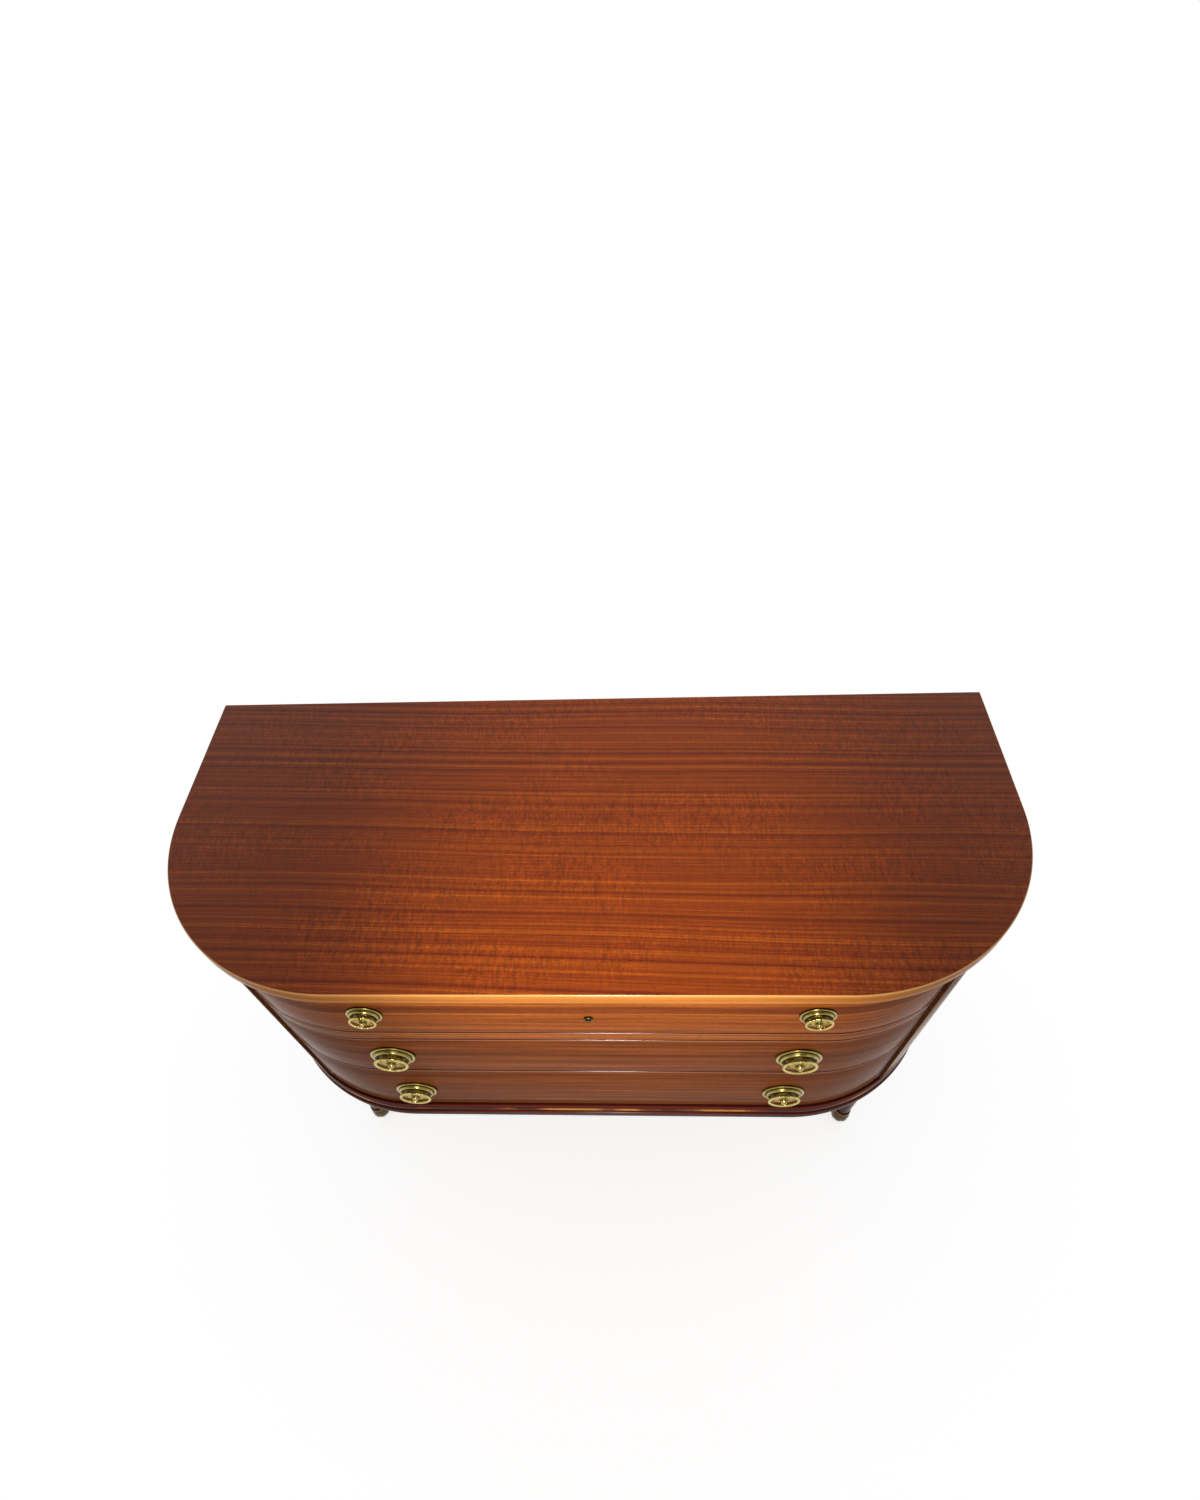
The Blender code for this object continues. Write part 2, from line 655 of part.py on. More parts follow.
def tail_outlines(low, high, grow, reach):
    """Dovetails along the rear end of a drawer side, as (y, z) outlines, run on by reach at both ends."""
    count = max(2, round((high - low) / TAIL_PITCH))
    pitch = (high - low) / count
    flare = pitch * (TAIL_END_SHARE - TAIL_ROOT_SHARE) * reach / BOX_BACK_THICKNESS
    root = pitch * TAIL_ROOT_SHARE + grow - flare
    end = pitch * TAIL_END_SHARE + grow + flare
    front = box_back_y - BOX_BACK_THICKNESS - SEAM - reach
    rear = box_back_y + reach
    tails = []
    for i in range(count):
        middle = low + pitch * i + pitch / 2
        tails.append([(front, middle - root), (rear, middle - end),
                      (rear, middle + end), (front, middle + root)])
    return tails


def upright_board(name, outlines, low_x, high_x, look, parent, cutter=False):
    """Board standing across X, from (y, z) outlines."""
    mesh = prism_mesh(name, outlines, high_x - low_x)
    turn = (QUARTER, 0, QUARTER)
    return add_object(name, mesh, look, parent, ((low_x + high_x) / 2, 0, 0), turn, cutter)


def bottom_outline(grow):
    half = box_half - BOX_SIDE_THICKNESS + BOX_BOTTOM_HOUSING + grow
    inset = FACE_INSET + FRONT_THICKNESS - BOX_BOTTOM_HOUSING - grow
    return half, inset


def make_drawer(name, runner, height, pull, pull_rise):
    """One drawer; inside its parent, z = 0 is the top of its runner."""
    slide = add_empty(f"{name}_slide", (0, 0, runner))
    front_low = DRAWER_GAP
    front_high = DRAWER_GAP + height
    box_high = front_high - BOX_SIDE_DROP
    section = eased_section(FACE_INSET, FACE_INSET + FRONT_THICKNESS, front_low, front_high, FRONT_ARRIS)
    front_mesh = swept_mesh(f"{name}_front", section, DRAWER_END_ANGLE, -DRAWER_END_ANGLE)
    front = add_object(f"{name}_front", front_mesh, FRONTS, slide)

    # bottom panel and the groove that holds it on three sides
    half, inset = bottom_outline(0)
    bottom_high = BOX_BOTTOM_RISE + BOX_BOTTOM_THICKNESS
    board(f"{name}_bottom", [bow_outline(half, inset, box_back_y)], BOX_BOTTOM_RISE, bottom_high,
          PLYWOOD, slide)
    half, inset = bottom_outline(SEAM)
    groove = board(f"{name}_groove", [bow_outline(half, inset, box_back_y + OVERRUN)],
                   BOX_BOTTOM_RISE - SEAM, bottom_high + SEAM, None, slide, cutter=True)
    boolean(front, groove, "DIFFERENCE")

    # sides: housed in the front, dovetailed to the back
    inner_x = box_half - BOX_SIDE_THICKNESS
    housing_y = bow_y(box_half, FACE_INSET) + SIDE_HOUSING_WOOD
    shoulder_y = box_back_y - BOX_BACK_THICKNESS - SEAM
    back_low = bottom_high + 2 * SEAM
    for word, side in SIDES.items():
        outline = [(housing_y, SEAM), (box_back_y, SEAM), (box_back_y, back_low), (shoulder_y, back_low)]
        for tail in tail_outlines(back_low, box_high, 0, 0):
            outline += tail
        outline += [(shoulder_y, box_high), (housing_y, box_high)]
        xs = sorted((side * inner_x, side * box_half))
        board_side = upright_board(f"{name}_{word}_side", [outline], *xs, PALE_WOOD, slide)
        boolean(board_side, groove, "DIFFERENCE")
        housing = box_mesh(f"{name}_housing", (xs[0] - SEAM, housing_y - SEAM, -OVERRUN),
                           (xs[1] + SEAM, centre_y, box_high + SEAM))
        boolean(front, add_object(f"{name}_{word}_housing", housing, None, slide, cutter=True), "DIFFERENCE")

    # back board, cut for the tails
    rear_low = (-box_half, box_back_y - BOX_BACK_THICKNESS, back_low)
    rear = add_object(f"{name}_back", box_mesh(f"{name}_back", rear_low, (box_half, box_back_y, box_high)),
                      PALE_WOOD, slide)
    tails = tail_outlines(back_low, box_high, SEAM, OVERRUN)
    for side in SIDES.values():
        xs = sorted((side * (inner_x - SEAM), side * (box_half + OVERRUN)))
        sockets = upright_board(f"{name}_sockets", tails, *xs, None, slide, cutter=True)
        boolean(rear, sockets, "DIFFERENCE")

    make_pulls(name, front, slide, front_low + pull_rise, PULL_SIZES[pull])
    if pull == "small":
        make_lock(front, slide, front_low + pull_rise - KEY_BELOW_PULLS, front_high)


# Ring pulls: a backplate with its eye bolt and nut in one, and the ring that hangs in the eye

def make_pulls(name, front, slide, middle, sizes):
    plate_radius, plate_height, tube = sizes
    facing = (QUARTER, 0, 0)
    ring_radius = plate_radius * RING_PLATE_SHARE - tube
    ring_out = plate_height * RING_PLANE_SHARE
    eye_radius = tube + RING_CLEARANCE + EYE_WIRE_RADIUS
    nut_face = -FRONT_THICKNESS - SEAM
    nut_rear = nut_face - NUT_THICKNESS
    for word, side in SIDES.items():
        x = side * (centre_x - PULL_FROM_BEND)
        profile = [(plate_radius * r, plate_height * h) for r, h in PLATE_SECTION_SHARES[:-2]]
        profile += [(plate_radius * r, SEAM) for r, h in PLATE_SECTION_SHARES[-2:]]
        plate = turned(f"{name}_{word}_backplate", profile, PLATE_STEPS, BRASS, slide,
                       (x, face_y, middle), facing)
        pivot = (x, face_y - ring_out, middle + ring_radius)
        bolt_place = (x, face_y, pivot[2])
        shank = rod_mesh("shank", SHANK_RADIUS, nut_rear - SHANK_TAIL, ring_out - eye_radius,
                         SMALL_HOLE_SEGMENTS)
        nut = rod_mesh("nut", NUT_RADIUS, nut_rear, nut_face, NUT_SIDES)
        eye = torus_mesh("eye", eye_radius, EYE_WIRE_RADIUS, EYE_SEGMENTS, RING_TUBE_SEGMENTS,
                         Matrix.Rotation(QUARTER, 4, "Y"))
        for piece, mesh, place, turn in (("shank", shank, bolt_place, facing),
                                         ("nut", nut, bolt_place, facing), ("eye", eye, pivot, (0, 0, 0))):
            joined = add_object(f"{name}_{word}_{piece}", mesh, None, slide, place, turn, cutter=True)
            boolean(plate, joined, "UNION")
        hole_mesh = rod_mesh("bolt_hole", SHANK_RADIUS + SHANK_HOLE_CLEARANCE,
                             -FRONT_THICKNESS - OVERRUN, OVERRUN, SMALL_HOLE_SEGMENTS)
        hole = add_object(f"{name}_{word}_bolt_hole", hole_mesh, None, slide, bolt_place, facing, cutter=True)
        boolean(front, hole, "DIFFERENCE")
        hang = Matrix.Translation((0, 0, -ring_radius)) @ Matrix.Rotation(QUARTER, 4, "X")
        ring_mesh = torus_mesh("ring", ring_radius, tube, RING_SEGMENTS, RING_TUBE_SEGMENTS, hang)
        smooth(add_object(f"{name}_{word}_ring", ring_mesh, BRASS, slide, pivot))


# Lock of the top drawer: key bush, case and bolt

def bolt_y():
    """Front face of the lock bolt, which runs in the middle of the case."""
    lock_front = face_y + FRONT_THICKNESS - LOCK_RECESS
    return lock_front + (LOCK_THICKNESS - BOLT_THICKNESS) / 2


def make_lock(front, slide, key_height, front_high):
    facing = (QUARTER, 0, 0)
    lock_front = face_y + FRONT_THICKNESS - LOCK_RECESS
    case_low = (-LOCK_WIDTH / 2, lock_front, key_height - LOCK_BELOW_KEY)
    case_high = (LOCK_WIDTH / 2, lock_front + LOCK_THICKNESS, front_high)
    case = add_object("lock_case", box_mesh("lock_case", case_low, case_high), STEEL, slide)
    recess_low = (case_low[0] - SEAM, lock_front - SEAM, case_low[2] - SEAM)
    recess_high = (case_high[0] + SEAM, case_high[1] + OVERRUN, front_high + OVERRUN)
    recess = add_object("lock_recess", box_mesh("lock_recess", recess_low, recess_high), None, slide,
                        cutter=True)
    boolean(front, recess, "DIFFERENCE")

    bush_hole = rod_mesh("bush_hole", BUSH_RADIUS + SEAM, -FRONT_THICKNESS, OVERRUN, PLATE_STEPS)
    bush_cut = add_object("bush_hole", bush_hole, None, slide, (0, face_y, key_height), facing, cutter=True)
    boolean(front, bush_cut, "DIFFERENCE")
    bush = rod_mesh("keyhole_escutcheon", BUSH_RADIUS, -BUSH_LENGTH, BUSH_PROUD, PLATE_STEPS)
    escutcheon = add_object("keyhole_escutcheon", bush, BRASS, slide, (0, face_y, key_height), facing)
    slot_half = KEY_SLOT_WIDTH / 2
    slot_angle = math.asin(slot_half / KEY_PIN_RADIUS)
    turn = 4 * QUARTER - 2 * slot_angle
    keyhole = []
    for i in range(SMALL_HOLE_SEGMENTS + 1):
        angle = slot_angle + turn * i / SMALL_HOLE_SEGMENTS
        keyhole.append((-KEY_PIN_RADIUS * math.sin(angle), -KEY_PIN_RADIUS * math.cos(angle)))
    keyhole += [(slot_half, -KEY_SLOT_DROP), (-slot_half, -KEY_SLOT_DROP)]
    key_mesh = prism_mesh("keyhole", [keyhole], 2 * BUSH_LENGTH + 2 * OVERRUN)
    key_cut = add_object("keyhole", key_mesh, None, slide, (0, face_y, key_height), facing, cutter=True)
    boolean(escutcheon, key_cut, "DIFFERENCE")
    bore = rod_mesh("key_bore", KEY_BORE_RADIUS, -KEY_BORE_DEPTH, OVERRUN, SMALL_HOLE_SEGMENTS)
    boolean(case, add_object("key_bore", bore, None, slide, (0, lock_front, key_height), facing, cutter=True),
            "DIFFERENCE")

    bolt_low = (-BOLT_WIDTH / 2, bolt_y(), front_high - BOLT_LENGTH)
    bolt_high = (BOLT_WIDTH / 2, bolt_y() + BOLT_THICKNESS, front_high)
    add_object("lock_bolt", box_mesh("lock_bolt", bolt_low, bolt_high), STEEL, slide)
    channel_low = tuple(edge - SEAM for edge in bolt_low)
    channel_high = (bolt_high[0] + SEAM, bolt_high[1] + SEAM, front_high + OVERRUN)
    channel = add_object("bolt_channel", box_mesh("bolt_channel", channel_low, channel_high), None, slide,
                         cutter=True)
    boolean(case, channel, "DIFFERENCE")


make_top()
make_case()
make_rails()
make_base()
for drawer_name, drawer_sizes in DRAWERS.items():
    make_drawer(drawer_name, *drawer_sizes)
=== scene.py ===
import math

import bmesh
import bpy
from mathutils import Matrix, Vector


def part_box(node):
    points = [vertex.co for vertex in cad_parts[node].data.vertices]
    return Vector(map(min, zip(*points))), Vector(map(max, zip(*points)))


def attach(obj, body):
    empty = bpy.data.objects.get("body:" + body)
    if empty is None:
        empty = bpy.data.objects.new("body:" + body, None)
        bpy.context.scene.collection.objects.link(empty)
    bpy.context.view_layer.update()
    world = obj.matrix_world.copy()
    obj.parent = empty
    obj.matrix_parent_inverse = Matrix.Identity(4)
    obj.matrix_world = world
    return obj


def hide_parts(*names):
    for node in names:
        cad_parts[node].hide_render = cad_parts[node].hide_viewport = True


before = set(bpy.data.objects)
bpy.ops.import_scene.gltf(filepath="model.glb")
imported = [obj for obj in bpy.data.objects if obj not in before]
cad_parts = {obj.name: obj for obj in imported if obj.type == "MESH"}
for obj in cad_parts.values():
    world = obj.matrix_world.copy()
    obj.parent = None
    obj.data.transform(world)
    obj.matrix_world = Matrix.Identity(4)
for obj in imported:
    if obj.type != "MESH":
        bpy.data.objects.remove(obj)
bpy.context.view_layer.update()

# Base moulding
# A mahogany plinth, steamed round the two corners and run with a bead, a groove and a roll,
# stained dark red and polished. It is glued to the front and sides of the bottom board.

HALF_WIDTH = 0.550
CORNER_RADIUS = 0.256
FRONT_Y = -0.2285
BACK_Y = 0.2355
CASE_BACK_Y = 0.2325
CENTRE_X = HALF_WIDTH - CORNER_RADIUS
CENTRE_Y = FRONT_Y + CORNER_RADIUS
BASE_LOW = 0.304
BASE_TOP = 0.341
BASE_INSET = 0.005
BASE_THICKNESS = 0.022
BASE_FOOT_EASE = 0.0009
# Share of the thickness and share of the height, from the foot up.
BASE_PROFILE = [
    (0.05, 0.00), (0.012, 0.04), (0.00, 0.11), (0.00, 0.20), (0.015, 0.27), (0.06, 0.315), (0.12, 0.33),
    (0.155, 0.335), (0.185, 0.345), (0.19, 0.375), (0.165, 0.395), (0.135, 0.425), (0.115, 0.50),
    (0.105, 0.60), (0.108, 0.70), (0.12, 0.80), (0.145, 0.89), (0.18, 0.955), (0.225, 0.99), (0.27, 1.00)]
# The profile's edges that have a finish of their own.
BASE_LOWER_BEAD = range(0, 5)
BASE_GROOVE_AND_LEDGE = (7, 8, 9, 10, 18, 19)
BASE_ARRISES = (5, 16, 17)
BASE_PAINTED_REFLECTION = (13, 14)
# Stretches of the painted reflection in a metre, its middle, and the distances from it where it is
# full and gone, each with what it adds to the pattern.
REFLECTION_STRETCHES = 13.0
REFLECTION_MIDDLE = (0.05, -0.23, 0.32)
REFLECTION_NEAR, REFLECTION_FAR = 0.08, 0.24
REFLECTION_MORE, REFLECTION_LESS = 0.06, -0.12
SHARP_ANGLE = 38


def linear(code):
    """sRGB hex colour turned into the linear values that a shader takes."""
    parts = [int(code[i:i + 2], 16) / 255 for i in (1, 3, 5)]
    return tuple(p / 12.92 if p <= 0.04045 else ((p + 0.055) / 1.055) ** 2.4 for p in parts) + (1.0,)


def feed(tree, node, inputs):
    """Sets a node's inputs. Each takes a value, an output or another node's first output."""
    for key, value in inputs.items():
        if isinstance(value, bpy.types.Node):
            value = value.outputs[0]
        if isinstance(value, bpy.types.NodeSocket):
            tree.links.new(value, node.inputs[key])
        else:
            node.inputs[key].default_value = value


def add_node(tree, kind, inputs=None, stops=None, **settings):
    """Adds a node with its settings and inputs; a ramp takes its stops too."""
    node = tree.nodes.new(kind)
    for key, value in settings.items():
        setattr(node, key, value)
    feed(tree, node, inputs or {})
    if stops:
        ramp = node.color_ramp
        while len(ramp.elements) < len(stops):
            ramp.elements.new(0.5)
        for element, (place, colour) in zip(ramp.elements, stops):
            element.position = place
            element.color = colour
    return node


def new_finish(name):
    """A new material, its node tree and its shader."""
    made = bpy.data.materials.new(name)
    made.use_nodes = True
    return made, made.node_tree, made.node_tree.nodes["Principled BSDF"]


def timber(name, dark, middle, light, grain, across, spacing, sway=0.004, line=0.5, fibre=0.14,
           fibres_over=900.0, pore=0.3, figure=0.0, roughness=0.3, specular=0.5, relief=0.15):
    """Wood, polished or bare.

    grain names the axes it runs along, across is the way its growth lines are counted, spacing their
    distance in mm, sway how far they wander in metres, and fibres_over the fibres in a metre across.
    """
    made, tree, shader = new_finish(name)
    place = add_node(tree, "ShaderNodeTexCoord").outputs["Object"]

    # Each pattern's repeats in a metre along and across the grain, its detail, and the span of the
    # noise that becomes a span of values. The open pores are drawn 0.8 mm wide so that they show.
    patterns = {
        "wander": (1.6, 4.5, 1.0, 0.2, 0.8, -sway, sway),
        "fading": (3.0, 40.0, 1.0, 0.3, 0.7, 0.35 * line, line),
        "fibres": (fibres_over / 40, fibres_over, 2.0, 0.3, 0.7, 1 - fibre, 1 + fibre),
        "pores": (150.0, 1300.0, 0.0, 0.58, 0.70, 0.0, 1.0)}
    if figure:
        # Ribbon figure, where the fibres lean to and fro: bars 3 mm wide across the grain and bright
        # flecks, both in patches.
        patterns["patches"] = (5.0, 14.0, 1.0, 0.36, 0.58, 0.2, 1.0)
        patterns["bars"] = (330.0, 85.0, 1.0, 0.3, 0.7, -figure, figure)
        patterns["flecks"] = (210.0, 800.0, 0.0, 0.56, 0.72, 0.0, 1.6 * figure)
    noise, spread = {}, {}
    for word, (along, over, detail, low, high, first, last) in patterns.items():
        scale = [along if axis in grain else over for axis in "XYZ"]
        stretched = add_node(tree, "ShaderNodeVectorMath", {0: place, 1: scale}, operation="MULTIPLY")
        noise[word] = add_node(tree, "ShaderNodeTexNoise", {
            "Vector": stretched, "Scale": 1.0, "Detail": detail})
        spread[word] = add_node(tree, "ShaderNodeMapRange", {
            "Value": noise[word], "From Min": low, "From Max": high, "To Min": first, "To Max": last})

    # Growth lines that run the length of the sheet and wander a little: broad bands of tone, and
    # thin dark lines of late wood.
    counted = add_node(tree, "ShaderNodeVectorMath", {0: place, 1: across}, operation="DOT_PRODUCT")
    rank = add_node(tree, "ShaderNodeMath", {0: counted.outputs["Value"], 1: spread["wander"]},
                    operation="ADD")
    rank = add_node(tree, "ShaderNodeMath", {0: rank, 1: 1000 / spacing}, operation="MULTIPLY")
    bands = add_node(tree, "ShaderNodeTexNoise", {"W": rank, "Scale": 1.0, "Detail": 5.0, "Roughness": 0.66},
                     noise_dimensions="1D")
    tone = add_node(tree, "ShaderNodeValToRGB", {"Fac": bands},
                    [(0.30, linear(dark)), (0.48, linear(middle)), (0.68, linear(light))])
    late = add_node(tree, "ShaderNodeTexNoise", {"W": rank, "Scale": 2.3, "Detail": 1.0, "Roughness": 0.4},
                    noise_dimensions="1D")
    late_wood = add_node(tree, "ShaderNodeValToRGB", {"Fac": late},
                         [(0.45, (0, 0, 0, 1)), (0.487, (0.28, 0.28, 0.28, 1)), (0.50, (1, 1, 1, 1)),
                          (0.513, (0, 0, 0, 1))])
    late_share = add_node(tree, "ShaderNodeMath", {0: late_wood, 1: spread["fading"]}, operation="MULTIPLY")
    lined = add_node(tree, "ShaderNodeMix", {0: late_share, 6: tone, 7: linear(dark)}, data_type="RGBA")

    # The fibres, pores and figure lighten and darken that ground.
    pored = add_node(tree, "ShaderNodeMapRange", {"Value": spread["pores"], "To Min": 1.0,
                                                  "To Max": 1 - pore})
    shade = add_node(tree, "ShaderNodeMath", {0: spread["fibres"], 1: pored}, operation="MULTIPLY")
    if figure:
        shimmer = add_node(tree, "ShaderNodeMath", {0: spread["bars"], 1: spread["flecks"]}, operation="ADD")
        shimmer = add_node(tree, "ShaderNodeMath", {0: shimmer, 1: spread["patches"]}, operation="MULTIPLY")
        shimmer = add_node(tree, "ShaderNodeMath", {0: shimmer, 1: 1.0}, operation="ADD")
        shade = add_node(tree, "ShaderNodeMath", {0: shade, 1: shimmer}, operation="MULTIPLY")
    colour = add_node(tree, "ShaderNodeVectorMath", {0: lined.outputs[2], 1: shade}, operation="MULTIPLY")
    gloss = add_node(tree, "ShaderNodeMapRange", {"Value": noise["fibres"], "To Min": roughness - 0.05,
                                                  "To Max": roughness + 0.05})
    height = add_node(tree, "ShaderNodeMath", {0: noise["fibres"], 1: spread["pores"]}, operation="SUBTRACT")
    bump = add_node(tree, "ShaderNodeBump", {"Strength": relief, "Distance": 0.0002, "Height": height})
    feed(tree, shader, {"Base Color": colour, "Roughness": gloss, "Normal": bump,
                        "Specular IOR Level": specular})
    return made


def plan_run(start=90, stop=-90, rear=0.0, step=2.0):
    """The plan's edge from the right round to the left: points with their way outwards.

    Angles are 0 straight ahead, 90 at the right side and -90 at the left one.
    """
    run = []
    if start == 90:
        run.append((HALF_WIDTH, rear, 1.0, 0.0))
    for first, last, side in ((start, max(stop, 0), 1), (0, stop, -1)):
        if side < 0 and stop >= 0:
            break
        count = max(1, math.ceil((first - last) / step))
        for i in range(count + 1):
            angle = math.radians(first + (last - first) * i / count)
            out_x, out_y = math.sin(angle), -math.cos(angle)
            run.append((side * CENTRE_X + CORNER_RADIUS * out_x, CENTRE_Y + CORNER_RADIUS * out_y,
                        out_x, out_y))
    if stop == -90:
        run.append((-HALF_WIDTH, rear, -1.0, 0.0))
    return run


def closed_mesh(build):
    """Mesh of a finished bmesh: doubles merged, faces outwards, smooth but for its sharp edges."""
    bmesh.ops.remove_doubles(build, verts=build.verts, dist=0.000002)
    bmesh.ops.recalc_face_normals(build, faces=build.faces)
    mesh = bpy.data.meshes.new("mesh")
    build.to_mesh(mesh)
    build.free()
    mesh.shade_smooth()
    mesh.set_sharp_from_angle(angle=math.radians(SHARP_ANGLE))
    return mesh


def swept(run, section, coats=()):
    """Shell of a section of (inset, height) points carried along a run of the plan.

    coats lists the section's edges that take the second material, those that take the third, and so
    on. Edges are counted from the section's first point.
    """
    build = bmesh.new()
    number = {edge: coat for coat, edges in enumerate(coats, 1) for edge in edges}
    rings = [[build.verts.new((x - out_x * inset, y - out_y * inset, height)) for inset, height in section]
             for x, y, out_x, out_y in run]
    for near, far in zip(rings, rings[1:]):
        for i in range(len(section)):
            j = (i + 1) % len(section)
            face = build.faces.new((near[i], near[j], far[j], far[i]))
            face.material_index = number.get(i, 0)
    build.faces.new(rings[0])
    build.faces.new(reversed(rings[-1]))
    return closed_mesh(build)


def coated(mesh, *finishes):
    for finish in finishes:
        mesh.materials.append(finish)
    return mesh


def fit(name, mesh, body, nodes):
    """A finished piece in place: it rides on its body and stands for its CAD nodes."""
    mesh.name = name
    piece = bpy.data.objects.new(name, mesh)
    bpy.context.scene.collection.objects.link(piece)
    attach(piece, body)
    if nodes:
        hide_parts(*nodes)
    return piece


def lacquered_edge(name, colour, roughness, specular):
    """Rounded edge where the lacquer has pooled, or an edge stained dark: one colour, no grain to see."""
    made, tree, shader = new_finish(name)
    feed(tree, shader, {"Base Color": linear(colour), "Roughness": roughness, "Specular IOR Level": specular})
    return made


# Mahogany stained dark red under a glossy lacquer: deep colour, paler where the light skims it.
dark_mahogany = timber("stained_mahogany_lacquered", "#420f06", "#6c210c", "#8f3816", "XY", (0, 0, 1), 9,
                       line=0.4, fibre=0.10, pore=0.2, roughness=0.10, specular=0.003)
# The lowest bead: grey brown and duller, its grey a painted reflection of the pale floor that it faces at a
# slant.
floor_reflection_mahogany = timber("mahogany_with_painted_floor_reflection", "#43302b", "#594440", "#6c5651", "XY", (0, 0, 1), 9,
                          line=0.3, roughness=0.25, specular=0.02)
# Painted shade in the narrow groove and on the ledge under the lowest drawer: dark red and without gloss.
groove_and_ledge_shade = lacquered_edge("painted_shade_in_groove_and_ledge", "#420f09", 0.4, 0.02)
# Lacquer pooled on the two upward edges: a soft dark shine.
base_arris = lacquered_edge("lacquer_on_base_arris", "#64200f", 0.16, 0.10)
# The face of the upper roll: a painted golden reflection in patchy stretches some 60 mm long,
# strongest in the middle of the front.
reflection_roll = lacquered_edge("painted_golden_reflection_on_roll", "#8a4a16", 0.2, 0.02)
reflection_tree = reflection_roll.node_tree
place = add_node(reflection_tree, "ShaderNodeTexCoord").outputs["Object"]
reflection_pattern = add_node(reflection_tree, "ShaderNodeTexNoise", {
    "Vector": place, "Scale": REFLECTION_STRETCHES, "Detail": 3.0})
distance = add_node(reflection_tree, "ShaderNodeVectorMath", {0: place, 1: REFLECTION_MIDDLE}, operation="DISTANCE")
reflection_fade = add_node(reflection_tree, "ShaderNodeMapRange", {
    "Value": distance.outputs["Value"], "From Min": REFLECTION_NEAR, "From Max": REFLECTION_FAR,
    "To Min": REFLECTION_MORE, "To Max": REFLECTION_LESS})
reflection_pattern = add_node(reflection_tree, "ShaderNodeMath", {0: reflection_pattern, 1: reflection_fade}, operation="ADD")
reflection_colour = add_node(reflection_tree, "ShaderNodeValToRGB", {"Fac": reflection_pattern}, [
    (0.40, linear("#451509")), (0.50, linear("#9a5216")), (0.58, linear("#e2a038"))])
feed(reflection_tree, reflection_tree.nodes["Principled BSDF"], {"Base Color": reflection_colour})

base_section = [(BASE_INSET + BASE_THICKNESS * inset, BASE_LOW + (BASE_TOP - BASE_LOW) * height)
                for inset, height in BASE_PROFILE]
base_section += [(BASE_INSET + BASE_THICKNESS, BASE_TOP), (BASE_INSET + BASE_THICKNESS, BASE_LOW),
                 (BASE_INSET + BASE_FOOT_EASE, BASE_LOW)]
base_mesh = swept(plan_run(rear=CASE_BACK_Y), base_section,
                  (BASE_LOWER_BEAD, BASE_GROOVE_AND_LEDGE, BASE_ARRISES, BASE_PAINTED_REFLECTION))
coated(base_mesh, dark_mahogany, floor_reflection_mahogany, groove_and_ledge_shade, base_arris, reflection_roll)
fit("plinth_moulding", base_mesh, "root", ["base_moulding"])

# Legs
# Four turned and bent mahogany legs, each in one piece with the square block that is glued and
# screwed inside the plinth. They swell at the knee and lean out to a thin ankle.

GLUE_GAP = 0.0003
BACK_THICKNESS = 0.006
LEG_BLOCK = 0.040
BLOCK_TOP = 0.3287
ANKLE_RADIUS = 0.0125
FOOT_REACH = 0.0125
LEG_HEADING = 45
LEG_SEGMENTS = 40
# Half the angle of one flat of the plinth's inner face.
HALF_FACET = 2.5
# Height, share of the foot's reach, radius, and how square the section is.
LEG_STATIONS = [
    (0.041, 1.00, 0.0125, 0), (0.052, 0.99, 0.0124, 0), (0.067, 0.96, 0.0130, 0), (0.103, 0.84, 0.0150, 0),
    (0.146, 0.66, 0.0180, 0), (0.188, 0.46, 0.0216, 0), (0.231, 0.28, 0.0250, 0), (0.262, 0.16, 0.0270, 0),
    (0.281, 0.09, 0.0276, 0.1), (0.293, 0.05, 0.0266, 0.35), (0.300, 0.03, 0.0240, 0.75),
    (0.304, 0.00, 0.0200, 1), (0.310, 0.00, 0.0200, 1), (BLOCK_TOP, 0.00, 0.0200, 1)]
plinth_back = (CORNER_RADIUS - BASE_INSET - BASE_THICKNESS) * math.cos(math.radians(HALF_FACET)) - GLUE_GAP
block_reach = math.sqrt(plinth_back ** 2 - (LEG_BLOCK / 2) ** 2) - LEG_BLOCK / 2
front_leg_x = CENTRE_X + block_reach * math.sin(math.radians(LEG_HEADING))
front_leg_y = CENTRE_Y - block_reach * math.cos(math.radians(LEG_HEADING))
rear_leg_x = HALF_WIDTH - BASE_INSET - BASE_THICKNESS - GLUE_GAP - LEG_BLOCK / 2
rear_leg_y = CASE_BACK_Y - BACK_THICKNESS - GLUE_GAP - LEG_BLOCK / 2
LEGS = {"front_right": (front_leg_x, front_leg_y, -LEG_HEADING),
        "front_left": (-front_leg_x, front_leg_y, LEG_HEADING - 180),
        "rear_right": (rear_leg_x, rear_leg_y, 0), "rear_left": (-rear_leg_x, rear_leg_y, 180)}


def through(points, count):
    """Smooth curve through points of any dimension, count steps to each span."""
    curve = []
    for i in range(len(points) - 1):
        ends = [points[max(i - 1, 0)], points[i], points[i + 1], points[min(i + 2, len(points) - 1)]]
        for step in range(count):
            t = step / count
            weights = (-t ** 3 / 2 + t ** 2 - t / 2, 1.5 * t ** 3 - 2.5 * t ** 2 + 1,
                       -1.5 * t ** 3 + 2 * t ** 2 + t / 2, t ** 3 / 2 - t ** 2 / 2)
            curve.append(tuple(sum(w * p[k] for w, p in zip(weights, ends)) for k in range(len(points[0]))))
    curve.append(tuple(points[-1]))
    return curve


def lofted(rings):
    """Closed shell over rings of points that all have the same count."""
    build = bmesh.new()
    made = [[build.verts.new(point) for point in ring] for ring in rings]
    for near, far in zip(made, made[1:]):
        for i in range(len(near)):
            j = (i + 1) % len(near)
            build.faces.new((near[i], near[j], far[j], far[i]))
    build.faces.new(reversed(made[0]))
    build.faces.new(made[-1])
    return closed_mesh(build)


